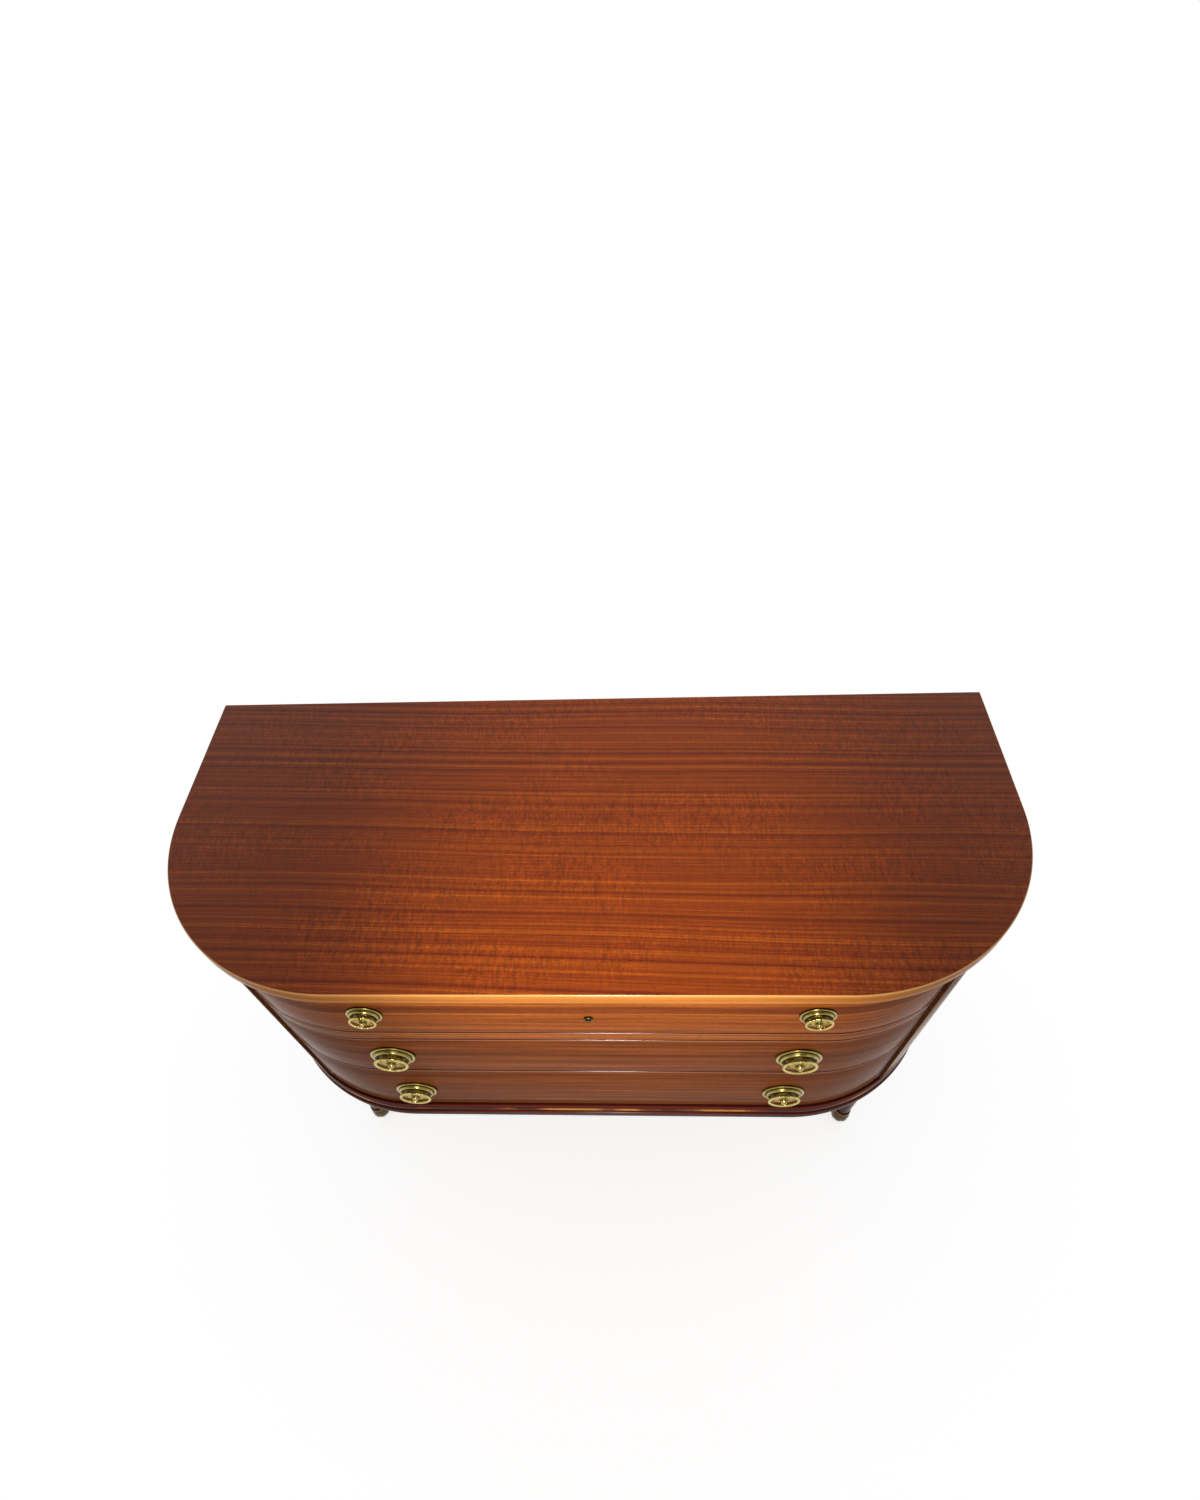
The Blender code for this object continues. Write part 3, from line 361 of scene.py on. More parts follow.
def standing(x, y, heading):
    """Takes a leg drawn at the origin, its foot towards +X, to its place."""
    return Matrix.Translation((x, y, 0)) @ Matrix.Rotation(math.radians(heading), 4, "Z")


def leg_mesh(place):
    rings = []
    for height, reach, radius, square in through(LEG_STATIONS, 3):
        square = min(max(square, 0), 1)
        ring = []
        for i in range(LEG_SEGMENTS):
            angle = math.radians(360) * (i + 0.5) / LEG_SEGMENTS
            out = radius * (1 + square * (1 / max(abs(math.cos(angle)), abs(math.sin(angle))) - 1))
            ring.append(Vector((FOOT_REACH * reach + out * math.cos(angle), out * math.sin(angle), height)))
        rings.append(ring)
    return lofted([[place @ point for point in ring] for ring in rings])


# The same stained mahogany with its grain upright.
upright_mahogany = timber("stained_mahogany_upright", "#3c130a", "#66281a", "#8a4028", "Z", (0.7, 0.7, 0), 8,
                          line=0.35, fibre=0.10, pore=0.2, roughness=0.14, specular=0.02)
for corner, leg_place in LEGS.items():
    fit(f"{corner}_turned_leg", coated(leg_mesh(standing(*leg_place)), upright_mahogany), "root",
        [f"{corner}_leg"])

# Brass shoes
# Cast brass sabots that cap the ankles: a rolled collar, a waist and a swollen foot with
# shallow lobes, worn bright on the ridges. Each is pinned to its leg.

SHOE_HEIGHT = 0.043
SHOE_RADIUS = 0.0172
SHOE_PLAY = 0.0002
SHOE_LOBES = 8
SHOE_LOBE_DEPTH = 0.075
SHOE_SEGMENTS = 64
# Shares of the shoe's height: its inner lip, the lobes' upper end and the neck under the collar.
SHOE_LIP = 0.96
LOBES_END = 0.66
SHOE_NECK = 0.82
# Share of the radius and share of the height.
SHOE_PROFILE = [
    (0.76, 1.00), (0.82, 0.99), (0.85, 0.955), (0.84, 0.915), (0.80, 0.885), (0.76, 0.86), (0.745, 0.82),
    (0.76, 0.77), (0.81, 0.71), (0.87, 0.645), (0.93, 0.565), (0.975, 0.47), (0.998, 0.37), (0.985, 0.27),
    (0.93, 0.175), (0.84, 0.09), (0.72, 0.03), (0.60, 0.00)]


def old_metal(name, bright, middle, dark, roughness, clouds_over):
    """Metal with its polish gone uneven, clouds_over the clouds in a metre.

    A mesh's attribute "hollow", 0 to 1, gathers the dark patina.
    """
    made, tree, shader = new_finish(name)
    place = add_node(tree, "ShaderNodeTexCoord").outputs["Object"]
    hollow = add_node(tree, "ShaderNodeAttribute", attribute_name="hollow").outputs["Fac"]
    clouds = add_node(tree, "ShaderNodeTexNoise", {"Vector": place, "Scale": clouds_over, "Detail": 4.0,
                                                   "Roughness": 0.6})
    base = add_node(tree, "ShaderNodeValToRGB", {"Fac": clouds},
                    [(0.35, linear(middle)), (0.62, linear(bright))])
    stain = add_node(tree, "ShaderNodeMath", {0: clouds, 1: 0.5}, operation="SUBTRACT")
    stain = add_node(tree, "ShaderNodeMath", {0: stain, 1: 0.9, 2: hollow}, operation="MULTIPLY_ADD",
                     use_clamp=True)
    colour = add_node(tree, "ShaderNodeMix", {0: stain, 6: base, 7: linear(dark)}, data_type="RGBA")
    rough = add_node(tree, "ShaderNodeMapRange", {"Value": stain, "To Min": roughness,
                                                  "To Max": roughness + 0.3})
    dents = add_node(tree, "ShaderNodeTexNoise", {"Vector": place, "Scale": clouds_over * 3, "Detail": 2.0})
    bump = add_node(tree, "ShaderNodeBump", {"Strength": 0.25, "Distance": 0.0002, "Height": dents})
    feed(tree, shader, {"Base Color": colour.outputs[2], "Roughness": rough, "Normal": bump, "Metallic": 1.0})
    return made


def mark_hollows(mesh, shares):
    """Writes how deep in the relief each vertex lies, for the metal's patina."""
    depth = mesh.attributes.new("hollow", "FLOAT", "POINT")
    depth.data.foreach_set("value", shares)


def lobe_share(angle):
    """0 in a groove between two of the shoe's lobes, 1 on a lobe's ridge."""
    return abs(math.sin(angle * SHOE_LOBES / 2)) ** 0.5


def shoe_mesh(place):
    rings = []
    for radius, height in [((ANKLE_RADIUS + SHOE_PLAY) / SHOE_RADIUS, SHOE_LIP)] + SHOE_PROFILE:
        lobed = max(0.0, min(1.0, (LOBES_END - height) / 0.12)) * max(0.0, min(1.0, (height - 0.02) / 0.1))
        ring = []
        for i in range(SHOE_SEGMENTS):
            angle = math.radians(360) * i / SHOE_SEGMENTS
            out = SHOE_RADIUS * radius * (1 - SHOE_LOBE_DEPTH * lobed * (1 - lobe_share(angle)))
            ring.append(Vector((FOOT_REACH + out * math.cos(angle), out * math.sin(angle),
                                SHOE_HEIGHT * height)))
        rings.append(ring)
    mesh = lofted([[place @ point for point in ring] for ring in reversed(rings)])
    shares = []
    for vertex in mesh.vertices:
        local = place.inverted() @ vertex.co - Vector((FOOT_REACH, 0, 0))
        height = local.z / SHOE_HEIGHT
        shares.append(0.55 * (1 - lobe_share(math.atan2(local.y, local.x))) if height < LOBES_END else
                      0.6 * max(0.0, 1 - abs(height - SHOE_NECK) / 0.07))
    mark_hollows(mesh, shares)
    return mesh


# Cast brass gone brown in the open: dull olive gold with bright worn ridges.
shoe_brass = old_metal("cast_brass_worn", "#6a5230", "#3a2a15", "#150d05", 0.20, 220.0)
for corner, leg_place in LEGS.items():
    fit(f"{corner}_brass_shoe", coated(shoe_mesh(standing(*leg_place)), shoe_brass), "root",
        [f"{corner}_sabot"])

# Case sides and stiles
# Curved side panels of veneered plywood run from the back round to the stiles: narrow rounded
# uprights of solid mahogany that stop the drawers, with a thin groove beside them.

WALL_LOW = 0.3413
WALL_HIGH = 0.7487
SIDE_INSET = 0.0085
SIDE_THICKNESS = 0.014
SIDE_ARRIS = 0.0004
FACE_INSET = 0.0125
FACE_RADIUS = CORNER_RADIUS - FACE_INSET
DRAWER_PLAY = 0.0015
STILE_WIDTH = 0.0105
STILE_LAP = 0.022
STILE_GROOVE = 0.0012
STILE_DEPTH = 0.030
STILE_ROUND = 0.0035
STILE_STEPS = 12
LAP_PLAY = 0.0006
# Angles round the corner where one part stops and the next starts.
DRAWER_END = 32.5
STILE_START = DRAWER_END + math.degrees(DRAWER_PLAY / FACE_RADIUS)
STILE_SHOWN = STILE_START + math.degrees(STILE_WIDTH / FACE_RADIUS)
STILE_STOP = STILE_SHOWN + math.degrees(STILE_LAP / FACE_RADIUS)
SIDE_START = STILE_SHOWN + math.degrees(STILE_GROOVE / FACE_RADIUS)


def eased(section, radii, steps=4):
    """Section with its corners rounded; radii gives one radius for each corner."""
    rounded = []
    for i, radius in enumerate(radii):
        here = Vector(section[i])
        if not radius:
            rounded.append(tuple(here))
            continue
        before = (Vector(section[i - 1]) - here).normalized() * radius
        after = (Vector(section[(i + 1) % len(section)]) - here).normalized() * radius
        for step in range(steps + 1):
            angle = math.radians(90) * step / steps
            rounded.append(tuple(here + before * (1 - math.sin(angle)) + after * (1 - math.cos(angle))))
    return rounded


def upright_section(inset, thickness, low, high, radii, steps=4):
    """Section of a bent board whose face is inset; radii are those of its lower and upper arris."""
    return eased([(inset, low), (inset, high), (inset + thickness, high), (inset + thickness, low)],
                 (*radii, 0, 0), steps)


def mirrored(mesh):
    build = bmesh.new()
    build.from_mesh(mesh)
    bmesh.ops.scale(build, vec=(-1, 1, 1), verts=build.verts)
    return closed_mesh(build)


def corner_place(angle, inset):
    reach = CORNER_RADIUS - inset
    return CENTRE_X + reach * math.sin(math.radians(angle)), CENTRE_Y - reach * math.cos(math.radians(angle))


side_section = upright_section(SIDE_INSET, SIDE_THICKNESS, WALL_LOW, WALL_HIGH, (SIDE_ARRIS, SIDE_ARRIS))
side_mesh = swept(plan_run(90, SIDE_START, CASE_BACK_Y), side_section)
stile_plan = []
for i in range(STILE_STEPS + 1):
    share = i / STILE_STEPS
    bulge = STILE_ROUND * (1 - math.sqrt(1 - (2 * share - 1) ** 2))
    stile_plan.append(corner_place(STILE_START + (STILE_SHOWN - STILE_START) * share, FACE_INSET + bulge))
lap_inset = SIDE_INSET + SIDE_THICKNESS + LAP_PLAY
stile_plan += [corner_place(STILE_SHOWN, lap_inset), corner_place(STILE_STOP, lap_inset),
               corner_place(STILE_STOP, FACE_INSET + STILE_DEPTH),
               corner_place(STILE_START, FACE_INSET + STILE_DEPTH)]
stile_mesh = lofted([[(x, y, height) for x, y in stile_plan] for height in (WALL_LOW, WALL_HIGH)])
# Side veneer of the same mahogany, its grain level, lacquered like the fronts.
side_veneer = timber("side_veneer_lacquered", "#6a381c", "#7c4522", "#8a5028", "XY", (0, 0, 1), 20,
                     sway=0.010, line=0.35, fibre=0.26, fibres_over=230.0, roughness=0.12, specular=0.002)
for word, panel, stile in (("right", side_mesh, stile_mesh),
                           ("left", mirrored(side_mesh), mirrored(stile_mesh))):
    fit(f"{word}_curved_side", coated(panel, side_veneer), "root", [f"{word}_side_panel"])
    fit(f"{word}_rounded_stile", coated(stile, upright_mahogany), "root", [f"{word}_stile"])

# Carcass inside the case
# Oak posts, back rails, runners and bottom board, glued and screwed, with a plywood back and dust
# board. All are left bare, as nobody sees them.

# Bare oak: pale, dry and open-grained, without gloss.
bare_oak_x, bare_oak_y, bare_oak_z = [
    timber(f"bare_oak_along_{axis.lower()}", "#8a6238", "#b48a58", "#cda874", axis, across, 7, roughness=0.6,
           relief=0.4)
    for axis, across in (("X", (0, 0.5, 0.9)), ("Y", (0.5, 0, 0.9)), ("Z", (0.9, 0.5, 0)))]
# Rotary-cut birch plywood: broad faint figure on a pale yellow ground.
birch_ply = timber("birch_plywood_bare", "#b28755", "#c99f6b", "#d8b582", "X", (0, 0.9, 1), 38, sway=0.03,
                   line=0.2, fibre=0.07, pore=0.12, roughness=0.62, relief=0.25)
CARCASS = {
    bare_oak_x: ["bottom_board", "back_top_rail", "back_middle_rail", "back_lower_rail", "back_base_rail"],
    bare_oak_y: ["runner_1_left", "runner_1_right", "runner_2_left", "runner_2_right"],
    bare_oak_z: ["left_rear_post", "right_rear_post"],
    birch_ply: ["back_panel", "dust_board"],
}


def dress(finish, nodes):
    """Gives CAD nodes that stay a better finish."""
    for name in nodes:
        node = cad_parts[name]
        node.data.materials.clear()
        node.data.materials.append(finish)


for finish, names in CARCASS.items():
    dress(finish, names)

# Rail between the first and second drawers
# A mahogany rail bent like the fronts, let into both stiles, with a painted highlight on its upper front
# edge.

RAIL_LOW = 0.60648
RAIL_TOP = 0.62848
RAIL_DEPTH = 0.045
ARRIS = 0.0016
ARRIS_STEPS = 6
# The gap over a piece is drawn wider than it is, so that the painted shade in it shows.
REVEAL = 0.0014
# Edges 0 to 5 round the lower arris, 6 is the face, 7 to 12 round the upper arris and 13 to 15 go
# back over the piece and under it. These take the painted highlight, the painted shade, and painted shade
# under gloss.
EDGE_COATS = ((7, 8, 9), (0, 1, 2, 12, 13, 15), (10, 11))
# Solid mahogany of a lighter orange than the fronts.
rail_mahogany = timber("rail_mahogany_lacquered", "#8a3f14", "#aa581f", "#c07030", "XY", (0, 0, 1), 12,
                       line=0.3, fibre=0.2, fibres_over=200.0, roughness=0.10, specular=0.010)
# Painted highlight: the rounded upper edges are paler than the wood, and their real gloss catches the lamp as
# thin bright lines.
highlit_arris = lacquered_edge("painted_highlight_and_gloss_on_arris", "#a4602f", 0.19, 0.45)
# Painted shade on the edges that face the gaps: dark and without gloss, seen only in the gaps.
gap_shade = lacquered_edge("painted_shade_in_gaps", "#3a1408", 0.5, 0.05)
# Painted shade on the inner half of the arris, next to the gap, under a real gloss that mirrors the lamp.
glossy_gap_shade = lacquered_edge("painted_shade_under_gloss_on_arris", "#4a1b0c", 0.19, 0.45)
rail_end = STILE_START - math.degrees(GLUE_GAP / FACE_RADIUS)
rail_section = upright_section(FACE_INSET, RAIL_DEPTH, RAIL_LOW + REVEAL, RAIL_TOP, (ARRIS, ARRIS),
                               ARRIS_STEPS)
rail_mesh = swept(plan_run(rail_end, -rail_end), rail_section, EDGE_COATS)
fit("bent_drawer_rail", coated(rail_mesh, rail_mahogany, highlit_arris, gap_shade, glossy_gap_shade), "root",
    ["drawer_rail"])

# Drawers
# Each front is bent from laminated wood and veneered with level-grained mahogany under a glossy
# lacquer. Oak sides are housed in it and dovetailed to the back, round a plywood bottom.

FRONT_THICKNESS = 0.020
DRAWERS = {"drawer_1": (0.62998, 0.74750), "drawer_2": (0.49048, 0.60498), "drawer_3": (0.34250, 0.48799)}
LOCK_RECESS = ((-0.0283, -0.2053, 0.66244), (0.0283, -0.180, 0.7500))


def cut_box(mesh, low, high):
    """The mesh with a box taken out of it."""
    piece = bpy.data.objects.new("piece", mesh)
    build = bmesh.new()
    bmesh.ops.create_cube(build, size=1)
    for vertex in build.verts:
        vertex.co = [(a + b) / 2 + c * (b - a) for a, b, c in zip(low, high, vertex.co)]
    tool_mesh = bpy.data.meshes.new("tool")
    build.to_mesh(tool_mesh)
    build.free()
    tool = bpy.data.objects.new("tool", tool_mesh)
    for item in (piece, tool):
        bpy.context.scene.collection.objects.link(item)
    cut = piece.modifiers.new("cut", "BOOLEAN")
    cut.operation = "DIFFERENCE"
    cut.solver = "EXACT"
    cut.object = tool
    result = bpy.data.meshes.new_from_object(piece.evaluated_get(bpy.context.evaluated_depsgraph_get()))
    for item in (piece, tool):
        bpy.data.objects.remove(item)
    return result


# Sliced mahogany veneer on the fronts: level lines on orange brown, redder and darker on the lower
# two, under a hard gloss. Its fibres are drawn 4 mm apart, as finer ones don't show from above.
upper_veneer, lower_veneer = [
    timber(f"front_veneer_{word}", *colours, "XY", (0, 0, 1), 21, sway=0.012, line=0.4, fibre=0.30,
           fibres_over=230.0, roughness=0.10, specular=0.006)
    for word, *colours in (("upper", "#793718", "#a6521a", "#bd6a2c"),
                           ("lower", "#6f3718", "#8c451c", "#9b5229"))]
front_veneers = {"drawer_1": upper_veneer, "drawer_2": lower_veneer, "drawer_3": lower_veneer}
# Old lacquer scatters a warm bloom where it is seen at a slant.
for veneer in (upper_veneer, lower_veneer, side_veneer):
    feed(veneer.node_tree, veneer.node_tree.nodes["Principled BSDF"],
         {"Sheen Weight": 0.35, "Sheen Roughness": 0.35, "Sheen Tint": linear("#dc9a62")})
for drawer, (front_low, front_high) in DRAWERS.items():
    section = upright_section(FACE_INSET, FRONT_THICKNESS, front_low + REVEAL, front_high, (ARRIS, ARRIS),
                              ARRIS_STEPS)
    mesh = coated(swept(plan_run(DRAWER_END, -DRAWER_END), section, EDGE_COATS), front_veneers[drawer],
                  highlit_arris, gap_shade, glossy_gap_shade)
    if drawer == "drawer_1":
        mesh = cut_box(mesh, *LOCK_RECESS)
    fit(f"{drawer}_bent_front", mesh, drawer, [f"{drawer}_front"])
    dress(bare_oak_y, [f"{drawer}_left_side", f"{drawer}_right_side"])
    dress(bare_oak_x, [f"{drawer}_back"])
    dress(birch_ply, [f"{drawer}_bottom"])

# Pull plates
# Round plates pressed from brass sheet, with a stepped rim, a dark groove and a rosette of petals
# round a boss. An eye bolt through the plate and the front holds each with a nut.

FACE_Y = FRONT_Y + FACE_INSET
PULL_X = 0.2725
# Height, plate radius, plate height and ring thickness of each drawer's pulls.
PULLS = {"drawer_1": (0.68874, 0.0222, 0.0165, 0.0018), "drawer_2": (0.55002, 0.0305, 0.0195, 0.0023),
         "drawer_3": (0.40797, 0.0305, 0.0195, 0.0023)}
PLATE_SEGMENTS = 120
# The rosette's petals, from and to shares of the plate's radius, with shares of the plate's height.
PETALS = 10
ROSETTE_FROM = 0.18
ROSETTE_TO = 0.58
PETAL_RISE = 0.08
ROSETTE_SINK = 0.05
# Shares of the plate's radius and height where the ring's outer edge and middle plane lie.
RING_PLATE_SHARE = 0.77
RING_PLANE_SHARE = 0.70
EYE_BAR = 0.0010
EYE_PLAY = 0.0015
SHANK_RADIUS = 0.0018
NUT_RADIUS = 0.0048
NUT_HEIGHT = 0.0030
NUT_EASE = 0.0004
SHANK_SHOWN = 0.0050
# Share of the plate's radius, share of its height, and how dark the patina lies there.
PLATE_PROFILE = [
    (0.00, 1.00, 0.0), (0.05, 0.985, 0.0), (0.095, 0.94, 0.0), (0.13, 0.87, 0.0), (0.155, 0.78, 0.3),
    (0.17, 0.70, 0.9), (0.20, 0.665, 0.7), (0.25, 0.655, 0.2), (0.32, 0.635, 0.0), (0.39, 0.60, 0.0),
    (0.46, 0.545, 0.0), (0.52, 0.47, 0.3), (0.56, 0.38, 0.9), (0.59, 0.30, 1.0), (0.62, 0.24, 1.0),
    (0.66, 0.215, 1.0), (0.70, 0.22, 1.0), (0.73, 0.265, 0.8), (0.75, 0.33, 0.3),
    (0.77, 0.375, 0.0), (0.795, 0.385, 0.0), (0.815, 0.365, 0.0), (0.83, 0.31, 0.2), (0.845, 0.24, 0.6),
    (0.86, 0.185, 1.0), (0.875, 0.165, 0.9), (0.90, 0.165, 0.1), (0.93, 0.17, 0.0), (0.96, 0.165, 0.0),
    (0.98, 0.145, 0.3), (0.995, 0.105, 0.8), (1.00, 0.06, 1.0), (1.00, 0.00, 1.0)]


def petal_share(radius, angle):
    """How high a petal of the rosette stands, 0 between petals and 1 on a petal's spine."""
    if not ROSETTE_FROM < radius < ROSETTE_TO:
        return 0.0
    along = math.sin(math.pi * (radius - ROSETTE_FROM) / (ROSETTE_TO - ROSETTE_FROM)) ** 0.6
    return along * abs(math.cos(angle * PETALS / 2)) ** 0.7


def plate_mesh(x, z, radius, height):
    rings, shares = [], []
    for share, rise, dark in PLATE_PROFILE[1:]:
        sink = ROSETTE_SINK if ROSETTE_FROM < share < ROSETTE_TO else 0
        ring = []
        for i in range(PLATE_SEGMENTS):
            angle = math.radians(360) * i / PLATE_SEGMENTS
            petal = petal_share(share, angle)
            lift = height * (rise + PETAL_RISE * petal - sink)
            ring.append((x + radius * share * math.sin(angle), FACE_Y - lift - 0.0003 * (1 - rise),
                         z + radius * share * math.cos(angle)))
            shares.append(min(1.0, dark + (0.7 * (1 - petal) ** 3 if 0.20 < share < 0.55 else 0)))
        rings.append(ring)
    mesh = lofted(rings)
    mark_hollows(mesh, shares + [0.0] * (len(mesh.vertices) - len(shares)))
    return mesh


def ringed(centre, axis, radius, tube, segments=24, tube_segments=12):
    """Plain torus round an axis."""
    turn = Vector((0, 0, 1)).rotation_difference(Vector(axis)).to_matrix()
    build = bmesh.new()
    rows = []
    for i in range(segments):
        a = math.radians(360) * i / segments
        row = []
        for j in range(tube_segments):
            b = math.radians(360) * j / tube_segments
            out = radius + tube * math.cos(b)
            row.append(build.verts.new(Vector(centre) + turn @ Vector((
                out * math.cos(a), out * math.sin(a), tube * math.sin(b)))))
        rows.append(row)
    for i in range(segments):
        near, far = rows[i], rows[(i + 1) % segments]
        for j in range(tube_segments):
            k = (j + 1) % tube_segments
            build.faces.new((near[j], near[k], far[k], far[j]))
    return closed_mesh(build)


def rod(x, z, y_profile, segments=32):
    """Turned rod along Y from (y, radius) points."""
    return lofted([[(x + radius * math.sin(math.radians(360) * i / segments), y,
                     z + radius * math.cos(math.radians(360) * i / segments)) for i in range(segments)]
                   for y, radius in y_profile])


def joined(meshes):
    """One mesh of several closed shells."""
    build = bmesh.new()
    for mesh in meshes:
        build.from_mesh(mesh)
    whole = bpy.data.meshes.new("joined")
    build.to_mesh(whole)
    build.free()
    whole.shade_smooth()
    return whole


def ring_hang(drawer):
    """Radius of a drawer's rings and the plane they hang in."""
    plate_radius, plate_height, tube = PULLS[drawer][1:]
    return plate_radius * RING_PLATE_SHARE - tube, FACE_Y - plate_height * RING_PLANE_SHARE


# Pressed brass under old lacquer: olive gold, bright on the rims, brown in the hollows.
pull_brass = old_metal("pressed_brass_lacquered", "#cdb766", "#97833f", "#2a1c07", 0.15, 160.0)
nut_y = FACE_Y + FRONT_THICKNESS + GLUE_GAP
for drawer, (pull_z, plate_radius, plate_height, tube) in PULLS.items():
    ring_radius, ring_y = ring_hang(drawer)
    pivot_z = pull_z + ring_radius
    eye_radius = tube + EYE_PLAY
    for word, x in (("left", -PULL_X), ("right", PULL_X)):
        eye = ringed((x, ring_y, pivot_z), (1, 0, 0), eye_radius, EYE_BAR)
        shank = rod(x, pivot_z, [(ring_y + eye_radius, SHANK_RADIUS - 0.0001), (FACE_Y, SHANK_RADIUS),
                                 (nut_y + SHANK_SHOWN - 0.0005, SHANK_RADIUS),
                                 (nut_y + SHANK_SHOWN, SHANK_RADIUS - 0.0004)], 16)
        nut = rod(x, pivot_z, [(nut_y, NUT_RADIUS - NUT_EASE), (nut_y + NUT_EASE, NUT_RADIUS),
                               (nut_y + NUT_HEIGHT - NUT_EASE, NUT_RADIUS),
                               (nut_y + NUT_HEIGHT, NUT_RADIUS - 0.0006)], 6)
        for mesh in (eye, shank, nut):
            mark_hollows(mesh, [0.4] * len(mesh.vertices))
        whole = joined([plate_mesh(x, pull_z, plate_radius, plate_height), eye, shank, nut])
        whole.set_sharp_from_angle(angle=math.radians(SHARP_ANGLE))
        fit(f"{drawer}_{word}_rosette_plate", coated(whole, pull_brass), drawer,
            [f"{drawer}_{word}_backplate"])

# Rings
# Cast brass rings that hang in the eye bolts and lift as the drawer is pulled. Small beads run
# round them, about as wide as the ring is thick.

RING_BAR_SHARE = 0.90
BEAD_PITCH = 2.05


def beaded_ring_tree():
    """Geometry Nodes: a round bar bent to a ring, with beads set round it."""
    tree = bpy.data.node_groups.new("beaded_ring", "GeometryNodeTree")
    for name, kind, value in (("Ring Radius", "Float", 0.02), ("Bar Radius", "Float", 0.002),
                              ("Bead Radius", "Float", 0.002), ("Beads", "Int", 24),
                              ("Brass", "Material", None)):
        socket = tree.interface.new_socket(name=name, in_out="INPUT", socket_type=f"NodeSocket{kind}")
        if value is not None:
            socket.default_value = value
    tree.interface.new_socket(name="Geometry", in_out="OUTPUT", socket_type="NodeSocketGeometry")
    given = add_node(tree, "NodeGroupInput").outputs
    path, bar = [
        add_node(tree, "GeometryNodeCurvePrimitiveCircle", {"Resolution": sides, "Radius": given[radius]})
        for sides, radius in ((96, "Ring Radius"), (14, "Bar Radius"))]
    wire = add_node(tree, "GeometryNodeCurveToMesh", {"Curve": path, "Profile Curve": bar})
    spots = add_node(tree, "GeometryNodeCurveToPoints", {"Curve": path, "Count": given["Beads"]})
    bead = add_node(tree, "GeometryNodeMeshIcoSphere", {"Radius": given["Bead Radius"], "Subdivisions": 3})
    beads = add_node(tree, "GeometryNodeInstanceOnPoints", {"Points": spots, "Instance": bead})
    both = add_node(tree, "GeometryNodeJoinGeometry")
    tree.links.new(beads.outputs[0], both.inputs[0])
    tree.links.new(wire.outputs[0], both.inputs[0])
    real = add_node(tree, "GeometryNodeRealizeInstances", {0: both})
    soft = add_node(tree, "GeometryNodeSetShadeSmooth", {0: real})
    painted = add_node(tree, "GeometryNodeSetMaterial", {0: soft, "Material": given["Brass"]})
    add_node(tree, "NodeGroupOutput", {0: painted})
    return tree


def grown_mesh(tree, values):
    """Plain mesh of a Geometry Nodes tree with its named inputs set."""
    holder = bpy.data.objects.new("holder", bpy.data.meshes.new("holder"))
    bpy.context.scene.collection.objects.link(holder)
    change = holder.modifiers.new("nodes", "NODES")
    change.node_group = tree
    for item in tree.interface.items_tree:
        if item.in_out == "INPUT" and item.name in values:
            change[item.identifier] = values[item.name]
    mesh = bpy.data.meshes.new_from_object(holder.evaluated_get(bpy.context.evaluated_depsgraph_get()))
    holder.modifiers.remove(change)
    bpy.data.objects.remove(holder)
    return mesh


ring_tree = beaded_ring_tree()
# Cast brass polished by the hand that lifts it: the brightest metal on the piece.
ring_brass = old_metal("cast_brass_polished", "#dccb80", "#ae954c", "#3c290b", 0.14, 200.0)
for drawer, (pull_z, _, _, tube) in PULLS.items():
    ring_radius, ring_y = ring_hang(drawer)
    for word, x in (("left", -PULL_X), ("right", PULL_X)):
        mesh = grown_mesh(ring_tree, {
            "Ring Radius": ring_radius, "Bar Radius": tube * RING_BAR_SHARE, "Bead Radius": tube,
            "Beads": round(math.radians(360) * ring_radius / (tube * BEAD_PITCH)), "Brass": ring_brass})
        mesh.transform(Matrix.Translation((x, ring_y, pull_z)) @ Matrix.Rotation(math.radians(90), 4, "X"))
        fit(f"{drawer}_{word}_beaded_ring", mesh, f"{drawer}_{word}_ring", [f"{drawer}_{word}_ring"])

# Lock of the top drawer
# A brass bush, driven into the front, guides the key to a steel cut lock behind it, whose bolt
# rises into the top.

KEY_BELOW_PULLS = 0.010
BUSH_Z = PULLS["drawer_1"][0] - KEY_BELOW_PULLS
BUSH_RADIUS = 0.006
BUSH_PROUD = 0.0020
BUSH_RIM = 0.0013
BUSH_WALL = 0.0012
WELL_DEPTH = 0.0004
PIN_RADIUS = 0.0013
PIN_TIP_RADIUS = 0.0009
PIN_TIP = 0.0006
bush_y = FACE_Y - BUSH_PROUD
# Mild steel, ground and gone grey, as on old cut locks.
lock_steel = old_metal("ground_steel_grey", "#8f8d88", "#6d6a66", "#2c2926", 0.35, 120.0)
# Brass gone brown under old polish, bright only where the key rubs it.
bush_brass = old_metal("bush_brass_browned", "#6b5c36", "#33290f", "#120c05", 0.18, 400.0)
# Painted shade: the solid plug inside the rim is nearly black, where the keyhole would lie in shadow.
keyhole_shade = lacquered_edge("painted_shade_of_keyhole", "#1d150c", 0.35, 0.2)
bush_pin = rod(0, BUSH_Z, [(bush_y, PIN_TIP_RADIUS), (bush_y + PIN_TIP, PIN_RADIUS),
                           (FACE_Y, PIN_RADIUS)], 20)
bush_rim = joined([ringed((0, bush_y, BUSH_Z), (0, 1, 0), BUSH_RADIUS - BUSH_RIM, BUSH_RIM, 40), bush_pin])
fit("key_bush_rim_and_pin", coated(bush_rim, bush_brass), "drawer_1", ["keyhole_escutcheon"])
bush_well = rod(0, BUSH_Z, [(bush_y + WELL_DEPTH, BUSH_RADIUS - BUSH_WALL),
                            (FACE_Y, BUSH_RADIUS - BUSH_WALL / 2),
                            (FACE_Y + FRONT_THICKNESS, BUSH_RADIUS - BUSH_WALL)], 40)
fit("key_bush_collar", coated(bush_well, keyhole_shade), "drawer_1", [])
dress(lock_steel, ["lock_case", "lock_bolt"])

